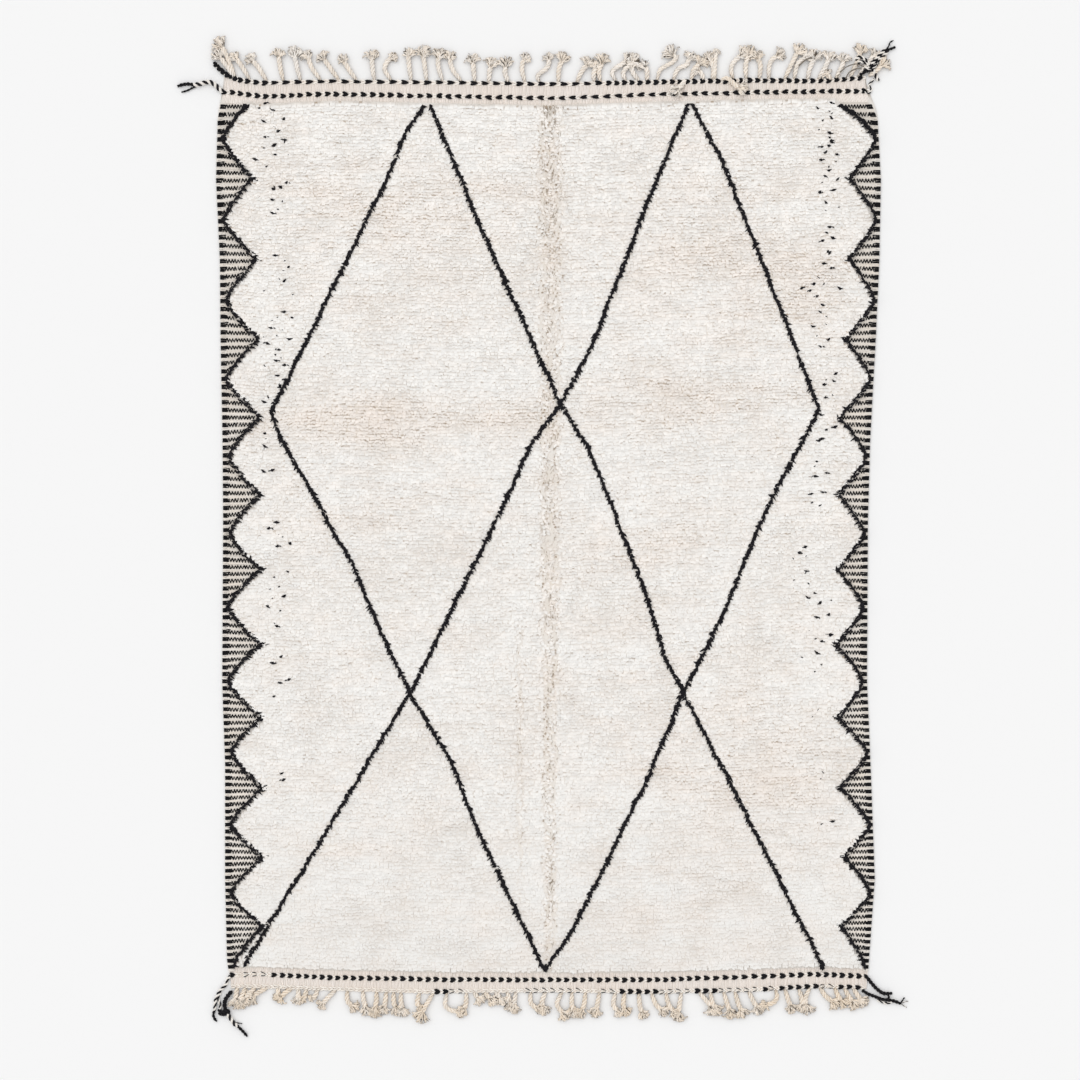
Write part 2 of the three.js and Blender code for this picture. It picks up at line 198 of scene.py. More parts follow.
def creaseShare(x, y):
    down = np.clip(0.5 - y / (2 * zigzag["bends"][0]), 0, 1)
    halfWidth = mix(crease["farHalfWidth"], crease["nearHalfWidth"], down)
    share = np.clip(1 - np.abs(x - crease["across"]) / halfWidth, 0, 1)
    faint = crease["faint"]
    along = smooth((faint["far"] - y) / faint["fade"]) * smooth((y - faint["near"]) / faint["fade"])
    across = np.clip(1 - np.abs(x - faint["across"]) / faint["halfWidth"], 0, 1)
    return np.maximum(share, across * along * faint["strength"])


def bedAt(x, y):
    # height of the bed that the pile is rooted in, with its soft lumps and the crease
    broad, fine = [lumps(x, y, size) * rise for size, rise in rug["bedLumps"]]
    return rug["bedTop"] + (broad + fine - creaseShare(x, y) * crease["depth"])


# Making objects and nodes

def addObject(name, data):
    thing = bpy.data.objects.new(name, data)
    bpy.context.scene.collection.objects.link(thing)
    return thing


def newMesh(name, points, edges=(), faces=(), attributes=None):
    # points in metres, with attributes that each point carries
    mesh = bpy.data.meshes.new(name)
    mesh.from_pydata(np.asarray(points).tolist(), edges, faces)
    for label, values in (attributes or {}).items():
        values = np.asarray(values, np.float32)
        kind, field = ("FLOAT_VECTOR", "vector") if values.ndim == 2 else ("FLOAT", "value")
        mesh.attributes.new(label, kind, "POINT").data.foreach_set(field, values.ravel())
    return mesh


def newMaterial(name):
    material = bpy.data.materials.new(name)
    material.use_nodes = True
    return material, material.node_tree.nodes["Principled BSDF"]


def setInputs(node, inputs):
    # each input is linked to a socket or set to a value
    for key, value in inputs.items():
        if isinstance(value, bpy.types.NodeSocket):
            node.id_data.links.new(value, node.inputs[key])
        else:
            node.inputs[key].default_value = value


def addNode(tree, kind, inputs=None, output=0, **settings):
    # one output of a new node
    node = tree.nodes.new(kind)
    for key, value in settings.items():
        setattr(node, key, value)
    setInputs(node, inputs or {})
    return node.outputs[output]


def math2(tree, operation, a, b=0.0, c=0.0, clamp=False):
    return addNode(tree, "ShaderNodeMath", {0: a, 1: b, 2: c}, operation=operation, use_clamp=clamp)


def vectorMath(tree, operation, inputs):
    return addNode(tree, "ShaderNodeVectorMath", inputs, operation=operation)


def mixColours(tree, factor, a, b, way="MIX"):
    # colours are sockets or (r, g, b)
    a, b = [c if isinstance(c, bpy.types.NodeSocket) else (*c, 1) for c in (a, b)]
    return addNode(tree, "ShaderNodeMix", {0: factor, 6: a, 7: b}, 2, data_type="RGBA", blend_type=way)


def newTree(name, inputs):
    # a Geometry Nodes tree with named inputs
    tree = bpy.data.node_groups.new(name, "GeometryNodeTree")
    tree.interface.new_socket("Geometry", in_out="INPUT", socket_type="NodeSocketGeometry")
    for label, kind in {**inputs, "Material": "Material"}.items():
        tree.interface.new_socket(label, in_out="INPUT", socket_type=f"NodeSocket{kind}")
    tree.interface.new_socket("Geometry", in_out="OUTPUT", socket_type="NodeSocketGeometry")
    return tree, tree.nodes.new("NodeGroupInput").outputs


def endTree(tree, geometry, material):
    # real, smooth faces with their material
    real = addNode(tree, "GeometryNodeRealizeInstances", {0: geometry})
    soft = addNode(tree, "GeometryNodeSetShadeSmooth", {0: real})
    dyed = addNode(tree, "GeometryNodeSetMaterial", {"Geometry": soft, "Material": material})
    setInputs(tree.nodes.new("NodeGroupOutput"), {0: dyed})


def readAttribute(tree, name, kind="FLOAT"):
    return addNode(tree, "GeometryNodeInputNamedAttribute", {"Name": name}, data_type=kind)


def runTree(mesh, tree, values):
    # the tree's result on a mesh, as a plain object of the same name
    source = addObject(mesh.name, mesh)
    modifier = source.modifiers.new(tree.name, "NODES")
    modifier.node_group = tree
    sockets = {item.name: item.identifier for item in tree.interface.items_tree if item.in_out == "INPUT"}
    for label, value in values.items():
        modifier[sockets[label]] = value
    depsgraph = bpy.context.evaluated_depsgraph_get()
    result = bpy.data.meshes.new_from_object(source.evaluated_get(depsgraph), depsgraph=depsgraph)
    name = mesh.name
    bpy.data.objects.remove(source)
    bpy.data.meshes.remove(mesh)
    result.name = name
    return addObject(name, result)


triangleCounts = []


def finishPiece(piece, slot, *nodes):
    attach(piece, "root")
    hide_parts(*nodes)
    triangleCounts.append(sum(len(face.vertices) - 2 for face in piece.data.polygons))
    print(f"{piece.name}: {triangleCounts[-1]} triangles, {time.time() - startedAt:.0f} s")


# Stage

stage = {
    "floorSize": 30,  # lengths here are in metres
    "floorTone": 0.95,
    "floorRoughness": 0.9,
    "worldStrength": 0.79,
    "sunStrength": 0.68,
    "sunSpread": 60,  # degrees
    "sunFrom": (-3.0, 3.5, 8.0),
    "lens": 0.1,
    "sensor": 0.036,
    "fieldAcross": 3.3264,  # what the picture spans on the floor
    "lookAt": (-0.0084, -0.0090),
}


def makeStage():
    scene = bpy.context.scene
    scene.view_settings.view_transform = "Standard"
    world = bpy.data.worlds.new("softWorld")
    world.use_nodes = True
    sky = {"Color": (1, 1, 1, 1), "Strength": stage["worldStrength"]}
    setInputs(world.node_tree.nodes["Background"], sky)
    scene.world = world

    half, tone = stage["floorSize"] / 2, stage["floorTone"]
    corners = [(-half, -half, 0), (half, -half, 0), (half, half, 0), (-half, half, 0)]
    mesh = newMesh("floor", corners, faces=[(0, 1, 2, 3)])
    paint, shader = newMaterial("paleFloor")
    setInputs(shader, {"Base Color": (tone, tone, tone, 1), "Roughness": stage["floorRoughness"]})
    mesh.materials.append(paint)
    addObject("floor", mesh)

    lamp = bpy.data.lights.new("softLamp", "SUN")
    lamp.energy = stage["sunStrength"]
    lamp.angle = math.radians(stage["sunSpread"])
    lampObject = addObject("softLamp", lamp)
    lampObject.location = stage["sunFrom"]
    lampObject.rotation_euler = (-lampObject.location).to_track_quat("-Z", "Y").to_euler()

    camera = bpy.data.cameras.new("camera")
    camera.lens = stage["lens"] / mm
    camera.sensor_width = stage["sensor"] / mm
    scene.camera = addObject("camera", camera)
    distance = stage["fieldAcross"] * stage["lens"] / stage["sensor"]
    scene.camera.location = (*stage["lookAt"], distance)
    print("stage: floor, lamp and camera")


# Materials

ivoryWool = {
    "light": (0.925, 0.908, 0.882),
    "warm": (0.91, 0.84, 0.78),
    # painted shade: the pile darkens towards this root colour low down, between and under the locks
    "root": (0.72, 0.66, 0.60),
    "rootAt": 10,  # up to this height all is in the root's colour
    "tipAt": 16.5,  # and from this one on in its own
    # painted shade in the gap between a row's roots and the tips of the row before
    "paintedGapShade": (0.43, 0.34, 0.26),  # between a row's roots and the tips of the row before
    "fibre": (900, 240, 240),  # noise scales across, along and up, for each metre
    "bump": 0.35,
}

sideCotton = {
    "light": (0.93, 0.89, 0.84),
    "warm": (0.87, 0.79, 0.70),
    # painted shade: low parts darken towards this root colour, where they lie in shade
    "root": (0.56, 0.48, 0.40),
    "rootAt": 2.0,
    "tipAt": 5.2,
    "fibre": (400, 900, 900),
    "bump": 0.4,
}

bandCotton = {
    "light": (0.98, 0.93, 0.895),
    "warm": (0.95, 0.865, 0.80),
    # painted shade: low parts darken towards this root colour, where they lie in shade
    "root": (0.74, 0.66, 0.59),
    "rootAt": 1.5,
    "tipAt": 4.2,
    "fibre": (900, 400, 900),
    "bump": 0.4,
}

twineCotton = {
    "light": (0.93, 0.885, 0.825),
    "warm": (0.84, 0.73, 0.62),
    # painted shade: low parts darken towards this root colour, where they lie in shade
    "root": (0.52, 0.43, 0.34),
    "rootAt": 0,
    "tipAt": 6,
    "fibre": (900, 500, 900),
    "bump": 0.5,
}

fringeCotton = {
    "light": (0.97, 0.92, 0.865),
    "warm": (0.91, 0.78, 0.63),
    # painted shade: low parts darken towards this root colour, in the shade between strands
    "root": (0.26, 0.18, 0.11),
    "rootAt": 2.5,
    "tipAt": 11.5,
    "plyShade": 0.11,  # how much darker the third ply of a rope is
    "fibre": (700, 500, 700),
    "bump": 0.6,
}

blackWool = {
    "light": (0.012, 0.011, 0.014),
    "warm": (0.007, 0.006, 0.008),
    # painted shade: low parts darken towards this root colour, where they lie in shade
    "root": (0.004, 0.004, 0.005),
    "rootAt": 4,
    "tipAt": 14,
    "fibre": (900, 300, 300),
    "bump": 0.6,
}

woolFinish = {
    "roughness": 0.95,
    "specular": 0.2,
    "sheenRoughness": 0.6,
    "cloudScale": 9.0,  # of the soft clouds of warmth, for each metre
    "cloudWarmth": 1.2,
    "fibreShade": 0.35,
    "gapSpan": (0.40, 0.80),  # where the gap's shade sets in, from a lock's tip at 0 to its root at 1
}


def woolMaterial(name, wool, sheen=0.25):
    # warmth by place, tone by lock or yarn, darker roots and low parts as painted shade, painted shade in
    # the gap past a lock where a wool has one, and fine fibres in colour and bump
    material, shader = newMaterial(name)
    tree = material.node_tree

    def carried(label):
        return addNode(tree, "ShaderNodeAttribute", output="Fac", attribute_name=label)

    def noise(place, scale, detail):
        return addNode(tree, "ShaderNodeTexNoise", {"Vector": place, "Scale": scale, "Detail": detail})

    def span(value, start, end, top=1.0):
        ends = {"Value": value, "From Min": start, "From Max": end, "To Max": top}
        return addNode(tree, "ShaderNodeMapRange", ends)

    def added(value, amount, to, clamp=False):
        return math2(tree, "MULTIPLY_ADD", value, amount, to, clamp)

    place = addNode(tree, "ShaderNodeTexCoord", output="Object")
    height = addNode(tree, "ShaderNodeSeparateXYZ", {0: place}, "Z")
    fibres = noise(addNode(tree, "ShaderNodeMapping", {"Vector": place, "Scale": wool["fibre"]}), 1.0, 3.0)
    cloudy = math2(tree, "SUBTRACT", noise(place, woolFinish["cloudScale"], 4.0), 0.5)
    warmth = added(cloudy, woolFinish["cloudWarmth"], carried("warmth"), True)
    body = mixColours(tree, warmth, wool["light"], wool["warm"])
    # painted shade: lower down the colour turns to the root colour
    colour = mixColours(tree, span(height, wool["rootAt"] * mm, wool["tipAt"] * mm), wool["root"], body)
    # painted shade in the gap: towards a lock's root, as strong as its shade attribute
    if "paintedGapShade" in wool:
        paintedGapShade = span(carried("root"), *woolFinish["gapSpan"], carried("shade"))
        colour = mixColours(tree, paintedGapShade, colour, wool["paintedGapShade"])
    grey = added(math2(tree, "SUBTRACT", fibres, 0.5), woolFinish["fibreShade"], carried("tone"))
    if "plyShade" in wool:
        grey = added(math2(tree, "GREATER_THAN", carried("ply"), 1.5), -wool["plyShade"], grey)
    shade = addNode(tree, "ShaderNodeCombineColor", {0: grey, 1: grey, 2: grey})
    bump = {"Strength": wool["bump"], "Distance": mm, "Height": fibres}
    setInputs(shader, {
        "Base Color": mixColours(tree, 1.0, colour, shade, "MULTIPLY"),
        "Normal": addNode(tree, "ShaderNodeBump", bump),
        "Roughness": woolFinish["roughness"],
        "Specular IOR Level": woolFinish["specular"],
        "Sheen Weight": sheen,
        "Sheen Roughness": woolFinish["sheenRoughness"],
    })
    return material


def pliedMaterial(name):
    # black and cream by ply
    material = woolMaterial(name, {**blackWool, "rootAt": 0, "tipAt": 5}, 0.03)
    tree = material.node_tree
    colour = tree.nodes["Principled BSDF"].inputs["Base Color"]
    ply = addNode(tree, "ShaderNodeAttribute", output="Fac", attribute_name="ply")
    isCream = math2(tree, "GREATER_THAN", ply, 0.5)
    tree.links.new(mixColours(tree, isCream, colour.links[0].from_socket, twineCotton["light"]), colour)
    return material


# Ground: the woven sheet under everything

ground = {
    "edgeInset": 2.2,  # the selvedge wraps stand proud by this
    "selvedgeTop": 5.2,
    "bandBlend": 6,  # over this length the side weave turns into the end band
    "pastOuter": 5,  # how far the sheet reaches past an outer twined row
    "rowsBetween": (4, 3, 150, 3, 4),  # rows of faces from each guide to the next
    "sideColumns": 13,
    "sideWidth": 130,
    "fieldColumns": 64,
    "tone": 0.93,
    "flatSize": (2.03, 2.80),  # metres
}

guides = {
    # lines across the rug from the far end to the near end: the twined row that each follows, and
    # how far it lies towards the far end of that row
    "farEdge": ("farOuter", ground["pastOuter"]),
    "farRib": ("farInner", 0),
    "farPile": ("farInner", -rug["pileFromRib"]),
    "nearPile": ("nearInner", rug["pileFromRib"]),
    "nearRib": ("nearInner", 0),
    "nearEdge": ("nearOuter", -ground["pastOuter"]),
}


def guideAt(name, x):
    line, past = guides[name]
    return ribAt(line, x) + past


def sheetTop(x, y):
    # height of the woven sheet under a place
    inFar = guideAt("farPile", x) - y
    inNear = y - guideAt("nearPile", x)
    inside = np.minimum(inZigzags(x, y), np.minimum(inFar, inNear))
    toBand = smooth(np.maximum(-inFar, -inNear) / ground["bandBlend"] + 0.5)
    fromEdge = np.minimum(x - edgeAt("left", y), edgeAt("right", y) - x)
    selvedge = np.sqrt(np.clip(1 - fromEdge / rug["selvedgeWidth"], 0, 1))
    flat = mix(rug["sideTop"], rug["bandTop"], toBand)
    flat = flat + (ground["selvedgeTop"] - flat) * selvedge * (1 - toBand)
    return mix(flat, bedAt(x, y), smooth(inside / rug["rimSlope"]))


def makeGround():
    names = list(guides)
    rows = []
    for upper, lower, count in zip(names, names[1:], ground["rowsBetween"]):
        rows += [(upper, lower, share) for share in np.linspace(0, 1, count + 1)[:-1]]
    rows.append((*names[-2:], 1.0))
    side = np.linspace(0, ground["sideWidth"], ground["sideColumns"] + 1)
    points = []
    for upper, lower, share in rows:
        along = mix(guideAt(upper, 0.0), guideAt(lower, 0.0), share)
        left = edgeAt("left", along) + ground["edgeInset"]
        right = edgeAt("right", along) - ground["edgeInset"]
        field = np.linspace(left + side[-1], right - side[-1], ground["fieldColumns"] + 1)[1:-1]
        x = np.concatenate([left + side, field, (right - side)[::-1]])
        y = mix(guideAt(upper, x), guideAt(lower, x), share)
        points.append(pathOf(x, y, sheetTop(x, y)))
    top = np.concatenate(points)
    index = np.arange(len(top)).reshape(len(rows), -1)
    faces = np.stack([index[:-1, :-1], index[1:, :-1], index[1:, 1:], index[:-1, 1:]], -1)
    faces = faces.reshape(-1, 4).tolist()
    rim = np.concatenate([index[0, ::-1], index[1:-1, 0], index[-1], index[-2:0:-1, -1]]).tolist()
    below = list(range(len(top), len(top) + len(rim)))
    faces += zip(rim, below, below[1:] + below[:1], rim[1:] + rim[:1])
    faces.append(below[::-1])
    points = np.concatenate([top, top[rim] * [1, 1, 0] + [0, 0, rug["underside"]]])
    x, y = points[:, :2].T
    values = {"warmth": warmthAt(x, y), "tone": ground["tone"] + 0 * x}
    mesh = newMesh("groundWeave", placed(points), [], faces, values)
    mesh.shade_smooth()
    mesh.materials.append(materials["side"])
    piece = addObject("groundWeave", mesh)
    finishPiece(piece, "ivory_pile", "rug_body")


# Dye: soft warm bands in the field

dye = {
    "bands": [
        # middle x and y, half width and half length, strength
        (-457, 1040, 460, 140, 0.45),
        (374, 885, 240, 250, 0.35),
        (744, 793, 280, 185, 0.50),
        (-580, 362, 340, 90, 0.80),
        (-118, 377, 170, 60, 0.40),
        (482, 423, 340, 100, 0.45),
        (312, -8, 280, 100, 0.40),
        (-642, 23, 240, 80, 0.30),
        (590, -777, 350, 560, 0.28),
        (590, -762, 370, 90, 0.35),
        (-580, -915, 280, 90, 0.22),
    ],
    "plain": 0.14,
    # warmth added along the crease, so it is warmer and a little darker there
    "crease": 0.4,
    "patch": {"strength": 0.16, "across": 260, "along": 60},
    "streak": {"strength": 0.20, "across": 150, "along": 13},
    "fade": 1.5,  # how sharply a band ends
}


def warmthAt(x, y):
    patch, streak = dye["patch"], dye["streak"]
    warmth = dye["plain"] + lumps(x, y, patch["across"], patch["along"]) * patch["strength"]
    warmth = warmth + lumps(x, y + 900, streak["across"], streak["along"]) * streak["strength"]
    for middleX, middleY, halfX, halfY, strength in dye["bands"]:
        away = ((x - middleX) / halfX) ** 2 + ((y - middleY) / halfY) ** 2
        warmth = warmth + strength * np.exp(-away * dye["fade"])
    return np.clip(warmth + creaseShare(x, y) * dye["crease"], 0, 1)


# Locks of pile

shingle = {
    # ivory locks lie towards the near end like shingles, flat on top, with an upright tip
    "rootAt": 2.0,
    "rootTop": -0.6,
    "tipLow": -0.4,
    "crown": 0.86,  # the tip's width at its top, as a share of its width
    "shapes": [
        # half widths at root and tip, how far the tip reaches, its height, its sideways bend, and its slant
        {"root": 4.8, "tip": 5.8, "reach": 13.0, "tipTop": 2.5, "bend": 0.3, "slant": 1.2},
        {"root": 4.6, "tip": 5.2, "reach": 14.1, "tipTop": 2.8, "bend": -1.1, "slant": -1.6},
        {"root": 5.0, "tip": 6.2, "reach": 12.2, "tipTop": 2.2, "bend": 0.8, "slant": 0.5},
        {"root": 4.4, "tip": 4.9, "reach": 13.6, "tipTop": 3.2, "bend": 1.4, "slant": -0.9},
        {"root": 4.8, "tip": 6.0, "reach": 11.2, "tipTop": 2.0, "bend": -0.8, "slant": 2.0},
    ],
}

leaf = {
    # black locks are slim and stand apart, like leaves
    "rootAt": 0, "rootLow": -1.5, "rootTop": 1.0,
    "bellyAt": -6.5, "bellyLow": 0.6, "bellyTop": 4.2,
    "crown": 0.3,
    "shapes": [
        {"root": 1.8, "belly": 3.3, "tip": 0.6, "reach": 16, "tipTop": 3.4, "bend": 0.4},
        {"root": 2.0, "belly": 3.0, "tip": 0.4, "reach": 18, "tipTop": 3.6, "bend": -1.6},
        {"root": 1.6, "belly": 3.6, "tip": 0.9, "reach": 14, "tipTop": 3.2, "bend": 1.4},
    ],
}


def lockMesh(name, corners, faces, crisp, attributes=None):
    # a closed lock, with crisp edges between some of its corners
    mesh = newMesh(name, np.array(corners, float) * mm, [], faces, attributes)
    for edge in mesh.edges:
        edge.use_edge_sharp = set(edge.vertices) <= crisp
    return mesh


def leafMesh(name, shape):
    # sixteen triangles: root, belly and a chisel tip, with a crisp line round its underside
    def ring(halfWidth, y, low, top):
        crown = halfWidth * leaf["crown"]
        return [(-halfWidth, y, low), (-crown, y, top), (crown, y, top), (halfWidth, y, low)]

    corners = ring(shape["root"], leaf["rootAt"], leaf["rootLow"], leaf["rootTop"])
    corners += ring(shape["belly"], leaf["bellyAt"], leaf["bellyLow"], leaf["bellyTop"])
    corners += [(shape["bend"] + way * shape["tip"], -shape["reach"], shape["tipTop"]) for way in (-1, 1)]
    faces = [(n, 4 + n, 4 + (n + 1) % 4, (n + 1) % 4) for n in range(4)]
    faces += [(0, 1, 2, 3), (4, 8, 5), (5, 8, 9, 6), (6, 9, 7), (7, 9, 8, 4)]
    return lockMesh(name, corners, faces, {0, 3, 4, 7, 8, 9})


def shingleMesh(name, shape):
    # a wedge of eight triangles that knows its root from its tip
    left, right = shape["bend"] - shape["tip"], shape["bend"] + shape["tip"]
    near, far = -shape["reach"] - shape["slant"], -shape["reach"] + shape["slant"]
    inset = shape["tip"] * (1 - shingle["crown"])
    corners = [
        (-shape["root"], shingle["rootAt"], shingle["rootTop"]),
        (shape["root"], shingle["rootAt"], shingle["rootTop"]),
        (left, near, shingle["tipLow"]), (right, far, shingle["tipLow"]),
        (left + inset, near, shape["tipTop"]), (right - inset, far, shape["tipTop"]),
    ]
    faces = [(0, 4, 5, 1), (0, 1, 3, 2), (2, 3, 5, 4), (0, 2, 4), (1, 5, 3)]
    # the root attribute tells the material where the painted gap shade goes
    return lockMesh(name, corners, faces, set(range(6)), {"root": [1, 1, 0, 0, 0, 0]})


def lockShapes(name, shapes, makeMesh):
    # a collection of the shapes, for the tree to pick from
    found = bpy.data.collections.new(name)
    for number, shape in enumerate(shapes):
        label = f"{name}{number}"
        found.objects.link(bpy.data.objects.new(label, makeMesh(label, shape)))
    return found


def makeLockTree():
    # one of the shapes on each point, turned and sized by the point's attributes and by chance
    tree, inputs = newTree("layLocks", {
        "Shapes": "Collection", "Shape count": "Int", "Seed": "Int",
        "Turn": "Float", "Tip": "Float", "Least size": "Float", "Most size": "Float",
    })
    seed = inputs["Seed"]

    def draw(offset, least, most):
        shifted = math2(tree, "ADD", seed, offset)
        return addNode(tree, "FunctionNodeRandomValue", {2: least, 3: most, "Seed": shifted}, 1)

    shapes = addNode(tree, "GeometryNodeCollectionInfo", {0: inputs["Shapes"], 1: True, 2: True})
    turn = math2(tree, "MULTIPLY_ADD", draw(1, -1.0, 1.0), inputs["Turn"], readAttribute(tree, "yaw"))
    tip = math2(tree, "MULTIPLY", draw(2, -1.0, 1.0), inputs["Tip"])
    roll = math2(tree, "MULTIPLY", draw(3, -1.0, 1.0), inputs["Tip"])
    euler = addNode(tree, "ShaderNodeCombineXYZ", {0: tip, 1: roll, 2: turn})
    across, along, up = [draw(n, inputs["Least size"], inputs["Most size"]) for n in (4, 5, 6)]
    drawn = addNode(tree, "ShaderNodeCombineXYZ", {0: across, 1: along, 2: up})
    last = math2(tree, "SUBTRACT", inputs["Shape count"], 1.0)
    laid = addNode(tree, "GeometryNodeInstanceOnPoints", {
        "Points": inputs["Geometry"], "Instance": shapes, "Pick Instance": True,
        "Instance Index": addNode(
            tree, "FunctionNodeRandomValue", {4: 0, 5: last, "Seed": seed}, 2, data_type="INT",
        ),
        "Rotation": addNode(tree, "FunctionNodeEulerToRotation", {0: euler}),
        "Scale": vectorMath(tree, "MULTIPLY", {0: drawn, 1: readAttribute(tree, "size", "FLOAT_VECTOR")}),
    })
    endTree(tree, laid, inputs["Material"])
    return tree


def layLocks(name, points, values, shapes, look, slot, **settings):
    source = newMesh(name, placed(points), attributes=values)
    piece = runTree(source, lockTree, {
        "Shapes": shapes, "Shape count": len(shapes.objects), "Seed": settings["seed"],
        "Turn": math.radians(settings["turn"]), "Tip": math.radians(settings["tip"]),
        "Least size": settings["least"], "Most size": settings["most"], "Material": materials[look],
    })
    finishPiece(piece, slot, "rug_body")


# Lozenges: black lines across the field, each from the far end to the near end

lozenges = {
    "farLeftDown": [
        (-374, 1338), (-436, 1249), (-500, 1095), (-685, 725), (-852, 383), (-812, 282),
        (-599, -88), (-507, -310), (-427, -479), (-303, -679), (-217, -901), (-12, -1332),
    ],
    "farLeftAcross": [
        (-368, 1338), (-328, 1243), (-174, 873), (38, 411), (119, 282),
        (297, -162), (362, -383), (414, -476), (559, -753), (845, -1323),
    ],
    "farRightAcross": [
        (433, 1338), (331, 1095), (245, 873), (128, 578), (38, 411),
        (-57, 282), (-192, -14), (-427, -479), (-636, -827), (-932, -1307),
    ],
    "farRightDown": [
        (439, 1338), (528, 1169), (618, 947), (732, 651), (833, 393), (691, 134),
        (537, -236), (414, -476), (300, -753), (116, -1123), (79, -1197), (-12, -1332),
    ],
}

blackLine = {
    "clear": 6,  # half width that ivory locks keep off
    "step": 0.7,  # rows from one set of black locks to the next
    "wander": 3,
    "pastEnd": 4,  # how far a line runs past its first and last place
    "spine": 1.05,  # width of the broad locks
    "spineLength": 0.9,
    "sway": 6,
    "swayTurn": 1.4,
    "side": {"rootOut": 4, "spread": 8, "turn": 1.4, "width": 1.35, "length": 0.5},
    "seed": 31,
}


def lozengeAt(name, y):
    # where a line lies across the rug, or not a number past its ends
    line = np.array(lozenges[name][::-1], float)
    x = np.interp(y, line[:, 1], line[:, 0])
    x = x + lumps(y, y * 0 + len(name), 45) * blackLine["wander"]
    past = (y > line[-1, 1] + blackLine["pastEnd"]) | (y < line[0, 1] - blackLine["pastEnd"])
    return np.where(past, np.nan, x)


# The pile

pile = {
    "rows": 288,
    "ends": (2, 14),  # from the guides to the first and last row
    "knotPitch": 9.1,
    "stray": 1.4,  # how far a knot strays from its place
    "rowWave": 2.6,  # how far a row wanders along the rug
    "ripple": 1.2,  # and how far from one knot to the next few
    "calmShade": 0.15,  # how strongly the painted shade in the gap past a lock shows
    "partedShade": 0.5,
    "dashShade": 0.45,  # painted shade of short dark dashes, in a few places
    "dashShare": 0.08,
    "contrastAt": (-1250, -700, 1300),  # places along the rug
    "contrast": (0.45, 1.0, 1.35),  # how strongly locks differ in tone, and how strong the painted gap shade is, there
    "rimInset": 6,  # from the zigzag to the nearest ivory root or tip
    "tipReach": 12,
    "partedLength": 0.2,  # how much shorter the locks are where a row is parted
    "roughTurn": 0.5,  # how far locks turn in the rough, warm places
    "creaseTurn": 1.2,
    "creaseSlim": 0.34,  # locks in the crease are this much narrower
    "creaseLong": 0.35,  # and this much longer
    "deepShadeShare": 0.33,  # of the crease's locks are darker: painted shade of the partings in it
    "creaseTone": (0.06, -0.02),  # added to its other locks as painted light against the trough's shade, and to its darker ones as painted shade
    # painted gap shade of its other locks and of its darker ones
    "creaseShade": (0.1, 1.0),
    "tone": 0.955,
    "toneDraw": 0.11,
    "lay": {"turn": 11, "tip": 4, "least": 0.88, "most": 1.14},  # degrees, and shares of the size
    "pieces": ("pileFar", "pileMiddle", "pileNear"),
    "seed": 11,
}


def rowAlong(row, x):
    # where a row of knots lies, following the twined rows at the two ends
    share = (row + 0.5) / pile["rows"]
    far, near = guideAt("farPile", x) - pile["ends"][0], guideAt("nearPile", x) + pile["ends"][1]
    wave = lumps(x, x * 0 + row * 40, 70, 100) * pile["rowWave"]
    return mix(far, near, share) + wave * np.minimum(1, np.minimum(share, 1 - share) * 20)


def fromLines(x, y):
    # distance across the rug to the nearest lozenge line
    return np.min([np.abs(np.nan_to_num(lozengeAt(name, y) - x, nan=1e6)) for name in lozenges], axis=0)


def inZigzags(x, y):
    # distance across the rug to the nearest zigzag, less than zero beyond it
    return np.minimum(x - zigzagAt("left", y), zigzagAt("right", y) - x)


def knotsInRow(row):
    along = rowAlong(row, 0.0)
    left, right = zigzagAt("left", along), zigzagAt("right", along)
    count = int((right - left) / pile["knotPitch"])
    k = np.arange(count)
    x = left + (k + 0.2 + 0.6 * chance(row, 3)) * (right - left) / count
    x = x + swing(k, row) * 2 * pile["stray"]
    y = rowAlong(row, x) + swing(row, k) * 2 * pile["stray"]
    y = y + lumps(x, x * 0 + row * 13, 18, 13) * pile["ripple"]
    keep = np.ones(count, bool)
    for at in (y, y - pile["tipReach"]):
        keep &= (inZigzags(x, at) > pile["rimInset"]) & (fromLines(x, at) > blackLine["clear"])
    return np.stack([x, y, k * 0 + row], 1)[keep]


